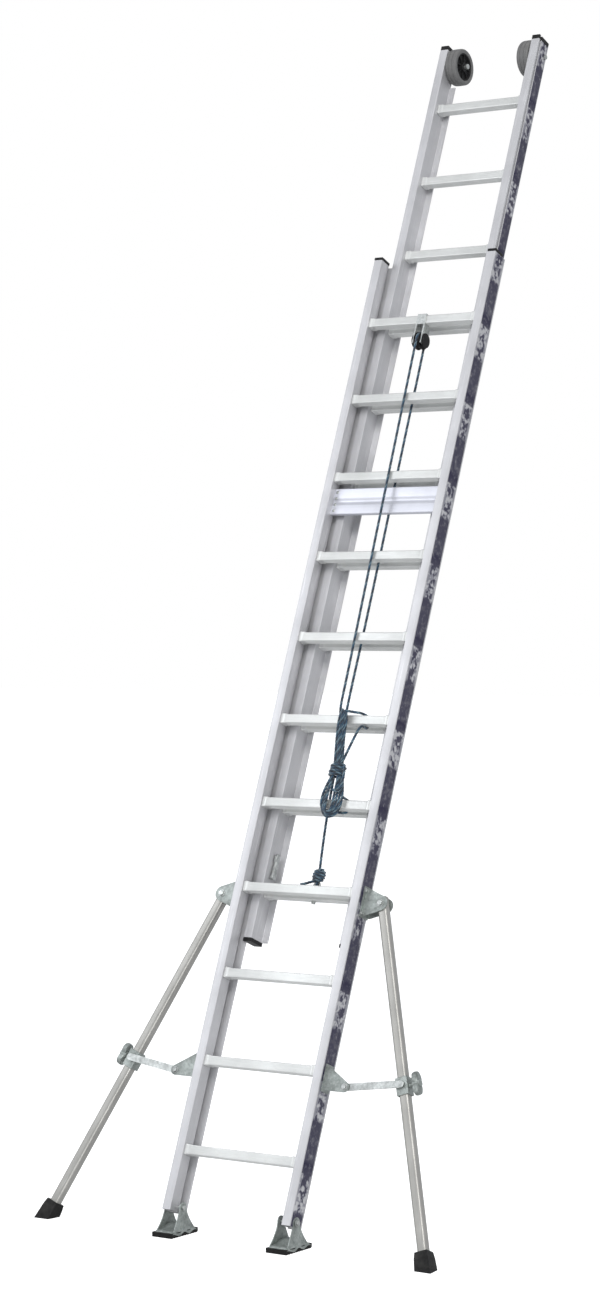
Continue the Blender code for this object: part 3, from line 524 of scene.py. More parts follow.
def grain_group():
    """Shared effect: drawing lines of an extrusion, streaks and soft smudges."""
    tree = bpy.data.node_groups.new("extrusion grain", "ShaderNodeTree")
    face = tree.interface
    face.new_socket("Vector", in_out="INPUT", socket_type="NodeSocketVector")
    face.new_socket("Fineness", in_out="INPUT", socket_type="NodeSocketFloat")
    face.new_socket("Lines", in_out="OUTPUT", socket_type="NodeSocketFloat")
    face.new_socket("Smudges", in_out="OUTPUT", socket_type="NodeSocketFloat")
    face.new_socket("Scratches", in_out="OUTPUT", socket_type="NodeSocketFloat")
    given = add_node(tree, "NodeGroupInput").outputs
    drawn = add_node(
        tree, "ShaderNodeVectorMath", {0: given["Vector"], 1: (1.0, 1.0, 0.012)}, operation="MULTIPLY"
    )
    lines = noise(tree, drawn.outputs[0], given["Fineness"], 4.0, 0.6)
    smudges = noise(tree, given["Vector"], 7.0, 4.0, 0.55)
    slanted = add_node(
        tree, "ShaderNodeMapping",
        {"Vector": given["Vector"], "Rotation": (0.5, 0.3, 0.2), "Scale": (220.0, 220.0, 9.0)}
    )
    scratches = ramp(tree, noise(tree, slanted.outputs[0], 1.0, 2.0, 0.4), (0.66, 0.0), (0.72, 1.0))
    add_node(tree, "NodeGroupOutput", {"Lines": lines, "Smudges": smudges, "Scratches": scratches})
    return tree


grain = grain_group()


def stile_material(name, outer_face, band_low, band_high, first_mark):
    """Mill-finish extrusion with a printed band on the outer face."""
    made, tree, shader = new_material(name, specular_ior_level=0.3)
    place = ladder_coordinates(tree)
    effect = add_node(tree, "ShaderNodeGroup", {}, node_tree=grain)
    tree.links.new(place, effect.inputs["Vector"])
    effect.inputs["Fineness"].default_value = 900.0
    lines = effect.outputs["Lines"]
    smudges = effect.outputs["Smudges"]
    bright = ramp(tree, lines, (0.3, (0.50, 0.50, 0.515)), (0.7, (0.57, 0.57, 0.585)))
    dull = ramp(tree, smudges, (0.3, 0.88), (0.7, 1.05))
    metal = mix_colour(tree, 1.0, bright, dull, "MULTIPLY")
    metal = mix_colour(
        tree, calculate(tree, "MULTIPLY", effect.outputs["Scratches"], 0.35), metal, (0.78, 0.78, 0.80)
    )
    split = add_node(tree, "ShaderNodeSeparateXYZ", {0: place}).outputs
    outside = calculate(tree, "GREATER_THAN", calculate(tree, "ABSOLUTE", split["X"]), outer_face - 0.0003)
    low = calculate(tree, "GREATER_THAN", split["Y"], band_low)
    high = calculate(tree, "LESS_THAN", split["Y"], band_high)
    band = calculate(tree, "MULTIPLY", outside, calculate(tree, "MULTIPLY", low, high))
    cycle = calculate(
        tree, "FRACT",
        calculate(tree, "DIVIDE", calculate(tree, "SUBTRACT", split["Z"], first_mark), rung_pitch)
    )
    bar = ramp(
        tree, cycle, (0.0, 0.9), (0.10, 1.0), (0.16, 0.82), (0.56, 0.92), (0.60, 0.0), (0.985, 0.0),
        (1.0, 0.9)
    )
    centre = calculate(
        tree, "ABSOLUTE", calculate(tree, "SUBTRACT", split["Y"], 0.5 * (band_low + band_high))
    )
    middle = calculate(tree, "LESS_THAN", centre, 0.34 * (band_high - band_low))
    patches = noise(tree, place, 62.0, 1.0, 0.5)
    blobs = calculate(tree, "MULTIPLY", ramp(tree, patches, (0.49, 0.0), (0.53, 0.9)), middle)
    bare = ramp(tree, patches, (0.40, 0.0), (0.44, 1.0))
    printed = calculate(tree, "MAXIMUM", bar, blobs)
    wear = ramp(tree, noise(tree, place, 60.0, 5.0, 0.7), (0.34, 0.7), (0.46, 1.0))
    ink = calculate(tree, "MULTIPLY", calculate(tree, "MULTIPLY", printed, wear), band)
    tint = calculate(tree, "MULTIPLY", calculate(tree, "MULTIPLY", band, bare), 0.62)
    tinted = mix_colour(tree, tint, metal, (0.15, 0.15, 0.20))
    painted = mix_colour(tree, ink, tinted, (0.010, 0.008, 0.034))
    tree.links.new(painted, shader.inputs["Base Color"])
    gloss = ramp(tree, lines, (0.3, 0.42), (0.7, 0.54))
    tree.links.new(mix_colour(tree, ink, gloss, (0.5, 0.5, 0.5)), shader.inputs["Roughness"])
    tree.links.new(ramp(tree, ink, (0.0, 0.62), (1.0, 0.0)), shader.inputs["Metallic"])
    add_bump(tree, shader, lines, 0.10, 0.0003)
    return made


base_outer = 0.235
base_metal = stile_material("base stile aluminium", base_outer, 0.005, 0.0600, 0.222)
for word, side in sides:
    section = [(0, 0), (30, 0), (30, 46), (3, 46), (3, 61.5), (46.5, 61.5), (46.5, 66.5), (0, 66.5)]
    hollow = [(2.5, 2.5), (27.5, 2.5), (27.5, 43.5), (2.5, 43.5)]
    outer = filleted([(side * (base_outer - a / 1000), b / 1000) for a, b in section], 0.0016)
    inner = filleted([(side * (base_outer - a / 1000), b / 1000) for a, b in hollow], 0.0012)
    shape = bmesh.new()
    hollow_section(shape, outer, inner, 0.060, 3.280)
    keep_mesh(f"base_stile_extrusion_{word}", shape, base_metal, "base", f"base_stile_{word}")

fly_outer = 0.195
fly_front = 0.052
notch_start = 3.995
fly_metal = stile_material("fly stile aluminium", fly_outer, fly_front + 0.019, fly_front + 0.063, 0.222)
for word, side in sides:
    box_only = [(0, 0), (30, 0), (30, 66), (0, 66), (0, 17), (8, 17), (8, 8.5), (0, 8.5)]
    with_lip = [
        (0, 0), (30, 0), (30, 61), (51, 61), (51, 66), (0, 66), (0, 17), (8, 17), (8, 8.5), (0, 8.5)
    ]
    hollow = [(10.5, 2.5), (27.5, 2.5), (27.5, 63.5), (2.5, 63.5), (2.5, 19.5), (10.5, 19.5)]
    inner = filleted([(side * (fly_outer - a / 1000), fly_front + b / 1000) for a, b in hollow], 0.0010)
    shape = bmesh.new()
    for section, start, end in ((with_lip, 0.937, notch_start), (box_only, notch_start, 4.112)):
        outer = filleted(
            [(side * (fly_outer - a / 1000), fly_front + b / 1000) for a, b in section], 0.0014
        )
        hollow_section(shape, outer, inner, start, end)
    keep_mesh(f"fly_stile_extrusion_{word}", shape, fly_metal, "fly", f"fly_stile_{word}")


# ------------------------------------------------------------------ rungs
# Square aluminium tubes with fine anti-slip ribs on all four faces. Each end is swaged into a bead
# against the stile and expanded inside it, so no screw shows.
def rib_square(half, corner, rib_depth, ribs=7):
    """A rounded square section with grooves between its ribs."""
    points = []
    flat = half - corner
    for quarter in range(4):
        turn = Matrix.Rotation(quarter * math.pi / 2, 2)
        for step in range(4):
            angle = math.radians(-90.0 + 30.0 * step)
            points.append(
                turn @ Vector((flat + corner * math.cos(angle), -flat + corner * math.sin(angle)))
            )
        for rib in range(ribs):
            start = -flat + 2 * flat * (rib + 0.18) / ribs
            stop = -flat + 2 * flat * (rib + 0.82) / ribs
            points += [turn @ Vector((half, start)), turn @ Vector((half - rib_depth, start + 0.0004))]
            points += [turn @ Vector((half - rib_depth, stop - 0.0004)), turn @ Vector((half, stop))]
    return points


def rung_mesh(inner_face):
    """One rung: the ribbed tube, lofted into a beaded collar at each end."""
    stations = [
        (inner_face, 0.0158, 0.0), (inner_face - 0.0008, 0.0170, 0.0), (inner_face - 0.0050, 0.0172, 0.0),
        (inner_face - 0.0075, 0.0160, 0.0), (inner_face - 0.0105, 0.0169, 0.0),
        (inner_face - 0.0150, 0.0169, 0.0),
        (inner_face - 0.0195, 0.0151, 0.0), (inner_face - 0.0215, 0.0150, 0.0008),
    ]
    shape = bmesh.new()
    rings = []
    for across, half, rib_depth in [(-a, b, c) for a, b, c in stations] + stations[::-1]:
        outline = rib_square(half, 0.0032, rib_depth)
        rings.append([shape.verts.new((across, point.x, point.y)) for point in outline])
    for first, second in zip(rings, rings[1:]):
        for index in range(len(first)):
            following = (index + 1) % len(first)
            shape.faces.new((first[index], first[following], second[following], second[index]))
    shape.faces.new(rings[0])
    shape.faces.new(rings[-1])
    bmesh.ops.recalc_face_normals(shape, faces=shape.faces)
    mesh = bpy.data.meshes.new("rung")
    shape.to_mesh(mesh)
    shape.free()
    mesh.shade_smooth()
    mesh.set_sharp_from_angle(angle=math.radians(30.0))
    return mesh


def row_tree():
    """Geometry nodes: a part repeated along a line, each copy one step on from the last."""
    tree = bpy.data.node_groups.new("row of parts", "GeometryNodeTree")
    face = tree.interface
    face.new_socket("Part", in_out="INPUT", socket_type="NodeSocketGeometry")
    face.new_socket("Count", in_out="INPUT", socket_type="NodeSocketInt")
    face.new_socket("Start", in_out="INPUT", socket_type="NodeSocketVector")
    face.new_socket("Step", in_out="INPUT", socket_type="NodeSocketVector")
    face.new_socket("Lean", in_out="INPUT", socket_type="NodeSocketVector")
    face.new_socket("Material", in_out="INPUT", socket_type="NodeSocketMaterial")
    face.new_socket("Row", in_out="OUTPUT", socket_type="NodeSocketGeometry")
    given = add_node(tree, "NodeGroupInput").outputs
    line = add_node(
        tree, "GeometryNodeMeshLine",
        {"Count": given["Count"], "Start Location": given["Start"], "Offset": given["Step"]}, mode="OFFSET"
    )
    turn = add_node(tree, "FunctionNodeEulerToRotation", {0: given["Lean"]})
    copies = add_node(
        tree, "GeometryNodeInstanceOnPoints",
        {"Points": line.outputs[0], "Instance": given["Part"], "Rotation": turn.outputs[0]}
    )
    real = add_node(tree, "GeometryNodeRealizeInstances", {0: copies.outputs[0]})
    coated = add_node(
        tree, "GeometryNodeSetMaterial", {"Geometry": real.outputs[0], "Material": given["Material"]}
    )
    add_node(tree, "NodeGroupOutput", {"Row": coated.outputs[0]})
    return tree


def rung_material():
    made, tree, shader = new_material("rung aluminium", metallic=0.62)
    place = ladder_coordinates(tree)
    turned_place = add_node(
        tree, "ShaderNodeMapping", {"Vector": place, "Rotation": (0.0, math.pi / 2, 0.0)}
    )
    effect = add_node(tree, "ShaderNodeGroup", {}, node_tree=grain)
    tree.links.new(turned_place.outputs[0], effect.inputs["Vector"])
    effect.inputs["Fineness"].default_value = 700.0
    bright = ramp(tree, effect.outputs["Lines"], (0.3, (0.60, 0.61, 0.60)), (0.7, (0.70, 0.71, 0.70)))
    dull = ramp(tree, effect.outputs["Smudges"], (0.3, 0.86), (0.7, 1.04))
    metal = mix_colour(tree, 1.0, bright, dull, "MULTIPLY")
    worn = mix_colour(
        tree, calculate(tree, "MULTIPLY", effect.outputs["Scratches"], 0.4), metal, (0.80, 0.80, 0.80)
    )
    tree.links.new(worn, shader.inputs["Base Color"])
    tree.links.new(
        ramp(tree, effect.outputs["Lines"], (0.3, 0.36), (0.7, 0.50)), shader.inputs["Roughness"]
    )
    add_bump(tree, shader, effect.outputs["Lines"], 0.12, 0.0003)
    return made


rung_metal = rung_material()
rung_count = 11
parts_row = row_tree()
for section, inner_face, deep, first in (("base", 0.205, 0.023, 1), ("fly", 0.165, 0.085, 4)):
    source = bpy.data.objects.new("rung", rung_mesh(inner_face))
    bpy.context.scene.collection.objects.link(source)
    row = {
        "Count": rung_count, "Start": ladder @ Vector((0.0, deep, rung_level(first))),
        "Step": slope * rung_pitch,
        "Lean": Vector((-lean_back, 0.0, 0.0)), "Material": rung_metal,
    }
    nodes = [f"{section}_rung_{number:02d}" for number in range(1, rung_count + 1)]
    grow(f"{section}_rungs", source, parts_row, row, section, *nodes)

# ------------------------------------------------------------------ end caps and plugs
# Injection-moulded black plastic, pressed into the open ends of the stiles. Each keeps the fine
# texture of its mould and carries a little dust from the workshop.
def dust_group():
    """Shared effect: settled dust and scuffs on dark plastic and rubber."""
    tree = bpy.data.node_groups.new("dust and scuffs", "ShaderNodeTree")
    face = tree.interface
    face.new_socket("Vector", in_out="INPUT", socket_type="NodeSocketVector")
    face.new_socket("Texture Size", in_out="INPUT", socket_type="NodeSocketFloat")
    face.new_socket("Texture", in_out="OUTPUT", socket_type="NodeSocketFloat")
    face.new_socket("Dust", in_out="OUTPUT", socket_type="NodeSocketFloat")
    face.new_socket("Scuffs", in_out="OUTPUT", socket_type="NodeSocketFloat")
    given = add_node(tree, "NodeGroupInput").outputs
    texture = noise(tree, given["Vector"], given["Texture Size"], 4.0, 0.6)
    patches = noise(tree, given["Vector"], 38.0, 4.0, 0.6)
    up = add_node(
        tree, "ShaderNodeSeparateXYZ", {0: add_node(tree, "ShaderNodeNewGeometry").outputs["Normal"]}
    ).outputs["Z"]
    settled = calculate(
        tree, "MULTIPLY", ramp(tree, up, (0.1, 0.25), (0.9, 1.0)),
        ramp(tree, patches, (0.4, 0.0), (0.72, 1.0))
    )
    streaks = add_node(
        tree, "ShaderNodeMapping",
        {"Vector": given["Vector"], "Rotation": (0.3, 0.7, 0.1), "Scale": (190.0, 12.0, 190.0)}
    )
    scuffs = ramp(tree, noise(tree, streaks.outputs[0], 1.0, 3.0, 0.5), (0.62, 0.0), (0.70, 1.0))
    add_node(tree, "NodeGroupOutput", {"Texture": texture, "Dust": settled, "Scuffs": scuffs})
    return tree


dust = dust_group()


def moulded_material(name, colour, dusty, texture_size, depth_of_texture, **constants):
    """Dark plastic or rubber with its mould texture, scuffs and dust."""
    made, tree, shader = new_material(name, **constants)
    place = add_node(tree, "ShaderNodeTexCoord").outputs["Object"]
    effect = add_node(tree, "ShaderNodeGroup", {}, node_tree=dust)
    tree.links.new(place, effect.inputs["Vector"])
    effect.inputs["Texture Size"].default_value = texture_size
    light = tuple(min(1.0, part * 1.9 + 0.006) for part in colour)
    tone = mix_colour(tree, ramp(tree, effect.outputs["Texture"], (0.35, 0.0), (0.7, 0.35)), colour, light)
    scuffed = mix_colour(tree, calculate(tree, "MULTIPLY", effect.outputs["Scuffs"], 0.35), tone, light)
    powdered = mix_colour(
        tree, calculate(tree, "MULTIPLY", effect.outputs["Dust"], dusty), scuffed, (0.30, 0.29, 0.27)
    )
    tree.links.new(powdered, shader.inputs["Base Color"])
    tree.links.new(
        ramp(tree, effect.outputs["Scuffs"], (0.0, 0.48), (1.0, 0.68)), shader.inputs["Roughness"]
    )
    add_bump(tree, shader, effect.outputs["Texture"], 0.35, depth_of_texture)
    return made


def softened(node, material, body, edge):
    """A CAD node's shape with its flat faces joined, its edges rounded and a finish of its own."""
    shape = bmesh.new()
    shape.from_mesh(frame["nodes"][node].data)
    bmesh.ops.remove_doubles(shape, verts=shape.verts, dist=0.00002)
    bmesh.ops.dissolve_limit(shape, angle_limit=math.radians(1.0), verts=shape.verts, edges=shape.edges)
    bmesh.ops.recalc_face_normals(shape, faces=shape.faces)
    mesh = bpy.data.meshes.new(f"{node}_finished")
    shape.to_mesh(mesh)
    shape.free()
    mesh.materials.clear()
    mesh.materials.append(material)
    for polygon in mesh.polygons:
        polygon.material_index = 0
    mesh.shade_smooth()
    mesh.set_sharp_from_angle(angle=math.radians(35.0))
    piece = bpy.data.objects.new(mesh.name, mesh)
    bpy.context.scene.collection.objects.link(piece)
    rounding = piece.modifiers.new("edges", "BEVEL")
    rounding.width = edge
    rounding.segments = 2
    rounding.limit_method = "ANGLE"
    rounding.angle_limit = math.radians(28.0)
    rounding.harden_normals = False
    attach(piece, body)
    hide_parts(node)
    return piece


black_plastic = moulded_material(
    "black moulded plastic", (0.006, 0.006, 0.0065), 0.06, 1500.0, 0.0004, specular_ior_level=0.2
)
cap_edge = 0.0016
plug_edge = 0.0006
for word, _ in sides:
    ends = (
        (f"base_cap_{word}", "base", cap_edge), (f"fly_cap_{word}", "fly", cap_edge),
        (f"fly_plug_{word}", "fly", plug_edge),
    )
    for node, body, edge in ends:
        softened(node, black_plastic, body, edge)


# ------------------------------------------------------------------ brace plate
# Pressed aluminium sheet between the base stiles below the ninth rung, its long edges folded back.
# A bead pressed along the middle stiffens it, and a row of rivets holds each end.
def anodised_material():
    made, tree, shader = new_material("anodised sheet", metallic=0.85)
    place = ladder_coordinates(tree)
    turned_place = add_node(
        tree, "ShaderNodeMapping", {"Vector": place, "Rotation": (0.0, math.pi / 2, 0.0)}
    )
    effect = add_node(tree, "ShaderNodeGroup", {}, node_tree=grain)
    tree.links.new(turned_place.outputs[0], effect.inputs["Vector"])
    effect.inputs["Fineness"].default_value = 420.0
    bright = ramp(tree, effect.outputs["Lines"], (0.3, (0.60, 0.61, 0.67)), (0.7, (0.68, 0.69, 0.74)))
    dull = ramp(tree, effect.outputs["Smudges"], (0.3, 0.86), (0.7, 1.05))
    tree.links.new(mix_colour(tree, 1.0, bright, dull, "MULTIPLY"), shader.inputs["Base Color"])
    tree.links.new(
        ramp(tree, effect.outputs["Lines"], (0.3, 0.42), (0.7, 0.52)), shader.inputs["Roughness"]
    )
    add_bump(tree, shader, effect.outputs["Lines"], 0.1, 0.0002)
    return made


anodised = anodised_material()
plate_low = rung_level(9) - 0.126
plate_high = rung_level(9) - 0.035
plate_front = 0.026
plate_back = 0.040
plate_reach = 0.2047
sheet = 0.002
profile = [(plate_back, plate_low), (plate_front + 0.002, plate_low), (plate_front, plate_low + 0.002)]
for step in range(9):
    lift = math.sin(math.pi * step / 8) ** 2
    profile.append((plate_front + 0.0045 * lift, plate_low + 0.030 + 0.030 * step / 8))
profile += [(plate_front, plate_high - 0.002), (plate_front + 0.002, plate_high), (plate_back, plate_high)]
inside = [
    (plate_back, plate_high - sheet), (plate_front + 0.003, plate_high - sheet),
    (plate_front + sheet, plate_high - 0.003)
]
for step in range(9):
    lift = math.sin(math.pi * step / 8) ** 2
    inside.append((plate_front + sheet + 0.0045 * lift, plate_high - 0.031 - 0.030 * step / 8))
inside += [
    (plate_front + sheet, plate_low + 0.003), (plate_front + 0.003, plate_low + sheet),
    (plate_back, plate_low + sheet)
]
shape = bmesh.new()
ring = [shape.verts.new((-plate_reach, deep, height)) for deep, height in profile + inside]
edges = [shape.edges.new(pair) for pair in zip(ring, ring[1:] + ring[:1])]
lid = bmesh.ops.triangle_fill(shape, edges=edges, use_beauty=True, use_dissolve=False)
pulled = bmesh.ops.extrude_face_region(
    shape, geom=[item for item in lid["geom"] if isinstance(item, bmesh.types.BMFace)]
)
far = [item for item in pulled["geom"] if isinstance(item, bmesh.types.BMVert)]
bmesh.ops.translate(shape, vec=(2 * plate_reach, 0.0, 0.0), verts=far)
keep_mesh("brace_plate_pressed", shape, anodised, "base", "brace_plate")


def turned_shape(profile, sides_count, centre, axis="X", close=False):
    """A profile of (along, radius) points turned about an axis through a centre, in the ladder's frame."""
    shape = bmesh.new()
    rings = []
    for along, radius in profile:
        ring = []
        for number in range(sides_count):
            angle = math.tau * (number + 0.5) / sides_count
            a, b = radius * math.cos(angle), radius * math.sin(angle)
            spot = {"X": (along, a, b), "Y": (a, along, b), "Z": (a, b, along)}[axis]
            ring.append(shape.verts.new(Vector(centre) + Vector(spot)))
        rings.append(ring)
    pairs = list(zip(rings, rings[1:])) + ([(rings[-1], rings[0])] if close else [])
    for first, second in pairs:
        for number in range(sides_count):
            following = (number + 1) % sides_count
            shape.faces.new((first[number], first[following], second[following], second[number]))
    if not close:
        shape.faces.new(rings[0])
        shape.faces.new(rings[-1])
    return shape


def steel_material(name, low, high, roughness):
    """Zinc-plated pressed steel: faint crystal patches, rolling marks and dull stains."""
    made, tree, shader = new_material(name, metallic=0.9)
    place = add_node(tree, "ShaderNodeTexCoord").outputs["Object"]
    crystals = add_node(tree, "ShaderNodeTexVoronoi", {"Vector": place, "Scale": 170.0}).outputs["Color"]
    patch = add_node(tree, "ShaderNodeSeparateColor", {0: crystals}).outputs[0]
    stains = noise(tree, place, 26.0, 5.0, 0.6)
    fine = noise(tree, place, 1400.0, 2.0, 0.5)
    tone = mix_colour(tree, ramp(tree, patch, (0.0, 0.0), (1.0, 1.0)), low, high)
    stained = mix_colour(tree, 1.0, tone, ramp(tree, stains, (0.32, 0.66), (0.60, 1.06)), "MULTIPLY")
    tree.links.new(stained, shader.inputs["Base Color"])
    tree.links.new(
        ramp(tree, stains, (0.3, roughness + 0.16), (0.7, roughness)), shader.inputs["Roughness"]
    )
    add_bump(
        tree, shader, calculate(tree, "ADD", fine, calculate(tree, "MULTIPLY", patch, 0.5)), 0.18, 0.0002
    )
    return made


zinc = steel_material("zinc plated steel", (0.42, 0.44, 0.43), (0.56, 0.58, 0.57), 0.38)
rivet_profile = [
    (0.0, 0.0001), (0.0, 0.0052), (-0.0008, 0.0050), (-0.0018, 0.0036), (-0.0023, 0.0018), (-0.0024, 0.0001)
]
for word, side in sides:
    source_shape = turned_shape(rivet_profile, 16, (0.0, 0.0, 0.0), "Y")
    bmesh.ops.recalc_face_normals(source_shape, faces=source_shape.faces)
    source_mesh = bpy.data.meshes.new("rivet")
    source_shape.to_mesh(source_mesh)
    source_shape.free()
    source = bpy.data.objects.new("rivet", source_mesh)
    bpy.context.scene.collection.objects.link(source)
    row = {
        "Count": 4, "Start": ladder @ Vector((side * 0.194, plate_front + 0.0001, plate_low + 0.013)),
        "Step": slope * 0.0215,
        "Lean": Vector((-lean_back, 0.0, 0.0)), "Material": zinc,
    }
    grow(f"plate_rivets_{word}", source, parts_row, row, "base")


# ------------------------------------------------------------------ pulley
# A zinc-plated steel strap bent over the top rung, with two moulded cheeks that keep the rope on the
# sheave. The sheave is black nylon, grooved for the rope and dished between its hub and its rim.
softened("pulley_bracket", zinc, "base", 0.0009)
for word, side in sides:
    cheek = [
        (0.0130, 0.0001), (0.0130, 0.0235), (0.0136, 0.0245), (0.0160, 0.0245), (0.0168, 0.0235),
        (0.0168, 0.0001)
    ]
    outline = [(side * (along + 0.0042), radius) for along, radius in cheek]
    shape = turned_shape(outline, 36, sheave_local)
    piece = keep_mesh(f"pulley_cheek_{word}", shape, black_plastic, "base")
half_sheave = [
    (0.0, 0.0212), (0.0040, 0.0214), (0.0058, 0.0225), (0.0080, 0.0290), (0.0088, 0.0299), (0.0100, 0.0297),
    (0.0105, 0.0285), (0.0105, 0.0255), (0.0085, 0.0245), (0.0080, 0.0110), (0.0103, 0.0100),
    (0.0105, 0.0090), (0.0105, 0.0043),
]
sheave_profile = [(-along, radius) for along, radius in reversed(half_sheave)] + half_sheave[1:]
nylon = moulded_material("black nylon", (0.006, 0.006, 0.0065), 0.05, 900.0, 0.0003, specular_ior_level=0.2)
shape = turned_shape(sheave_profile, 40, sheave_local, close=True)
keep_mesh("pulley_sheave_grooved", shape, nylon, "sheave", "pulley_sheave")


# ------------------------------------------------------------------ wall rollers
# Grey rubber tyres pressed onto ribbed black nylon hubs, which turn on bolts through the fly stiles.
# The tyre's tread is crowned, with two shallow grooves round it.
tyre_rubber = moulded_material(
    "grey rubber tyre", (0.10, 0.10, 0.10), 0.30, 700.0, 0.0005, specular_ior_level=0.3
)
for word, _ in sides:
    centre = ladder.inverted() @ Vector(joints[f"roller_turn_{word}"]["pos_m"])
    half_tyre = [
        (0.0, 0.0625), (0.0055, 0.0625), (0.0060, 0.0613), (0.0080, 0.0613), (0.0085, 0.0624),
        (0.0150, 0.0622),
        (0.0185, 0.0612), (0.0210, 0.0590), (0.0218, 0.0560), (0.0218, 0.0500), (0.0205, 0.0476),
        (0.0190, 0.0470),
    ]
    tyre = [(-along, radius) for along, radius in reversed(half_tyre)] + half_tyre[1:]
    shape = turned_shape(tyre, 56, centre, close=True)
    piece = keep_mesh(f"roller_tyre_{word}", shape, tyre_rubber, f"roller_{word}", f"wall_roller_{word}")
    half_hub = [
        (0.0, 0.0468), (0.0190, 0.0468), (0.0196, 0.0462), (0.0196, 0.0436), (0.0180, 0.0424),
        (0.0130, 0.0416),
        (0.0120, 0.0400), (0.0120, 0.0180), (0.0135, 0.0162), (0.0205, 0.0152), (0.0215, 0.0142),
        (0.0215, 0.0053),
    ]
    hub = [(-along, radius) for along, radius in reversed(half_hub)] + half_hub[1:]
    shape = turned_shape(hub, 48, centre, close=True)
    spokes = 8
    for face_side in (-1, 1):
        for number in range(spokes):
            angle = math.tau * (number + 0.25) / spokes
            turn = Matrix.Translation(centre) @ Matrix.Rotation(angle, 4, "X")
            low = face_side * 0.0118
            high = face_side * 0.0172
            corners = [
                (low, -0.0013, 0.0158), (low, 0.0013, 0.0158), (low, 0.0013, 0.0418), (low, -0.0013, 0.0418)
            ]
            tops = [(high, deep * 0.75, height) for _, deep, height in corners]
            points = [shape.verts.new(turn @ Vector(corner)) for corner in corners + tops]
            for quad in (
                (0, 1, 2, 3), (4, 5, 6, 7), (0, 1, 5, 4), (1, 2, 6, 5), (2, 3, 7, 6), (3, 0, 4, 7)
            ):
                shape.faces.new([points[index] for index in quad])
    keep_mesh(f"roller_hub_{word}", shape, nylon, f"roller_{word}")
    softened(f"roller_axle_{word}", zinc, "fly", 0.0008)


# ------------------------------------------------------------------ eye bolt and latch pawls
# Bright zinc-plated bar: the eye bolt goes through the fly's lowest rung and is nutted underneath.
# The pawls are stamped plate, each on a pin in its stile, and drop over a base rung to hold the fly.
softened("rope_eye_bolt", zinc, "fly", 0.0005)
for word, _ in sides:
    softened(f"latch_pawl_{word}", zinc, f"latch_{word}", 0.0012)


# ------------------------------------------------------------------ feet
# Each foot swivels on a bolt through the stile: two pressed steel cheeks stand on a tray that is domed
# between them, with a wavy rim turned down over a ribbed black rubber sole.
dull_steel = steel_material("dull pressed steel", (0.30, 0.33, 0.315), (0.40, 0.43, 0.415), 0.48)
foot_rubber = moulded_material(
    "black rubber", (0.005, 0.005, 0.005), 0.10, 800.0, 0.0006, specular_ior_level=0.15
)


def sheet_piece(name, rows, thickness, material, body, *replaced):
    """A pressed sheet: a grid of points given a thickness."""
    shape = bmesh.new()
    grid = [[shape.verts.new(point) for point in row] for row in rows]
    for first, second in zip(grid, grid[1:]):
        for number in range(len(first) - 1):
            shape.faces.new((first[number], first[number + 1], second[number + 1], second[number]))
    bmesh.ops.remove_doubles(shape, verts=shape.verts, dist=0.00001)
    bmesh.ops.recalc_face_normals(shape, faces=shape.faces)
    bmesh.ops.solidify(shape, geom=list(shape.faces), thickness=thickness)
    return keep_mesh(name, shape, material, body, *replaced, local=False)


def fastener(name, place, radius, length, body):
    """A hexagonal head or nut on its washer; place turns its Z axis along the bolt."""
    hexagon = 6
    washer = turned_shape(
        [(0.0, radius * 1.28), (0.0010, radius * 1.28), (0.0013, radius * 1.20)], 28, (0, 0, 0), "Z"
    )
    head_profile = [
        (0.0012, radius * 0.98), (0.0016, radius), (length - 0.0008, radius), (length, radius * 0.86)
    ]
    head = turned_shape(head_profile, hexagon, (0, 0, 0), "Z")
    head_mesh = bpy.data.meshes.new("head")
    head.to_mesh(head_mesh)
    head.free()
    washer.from_mesh(head_mesh)
    bpy.data.meshes.remove(head_mesh)
    bmesh.ops.transform(washer, matrix=place, verts=washer.verts)
    piece = keep_mesh(name, washer, zinc, body, local=False)


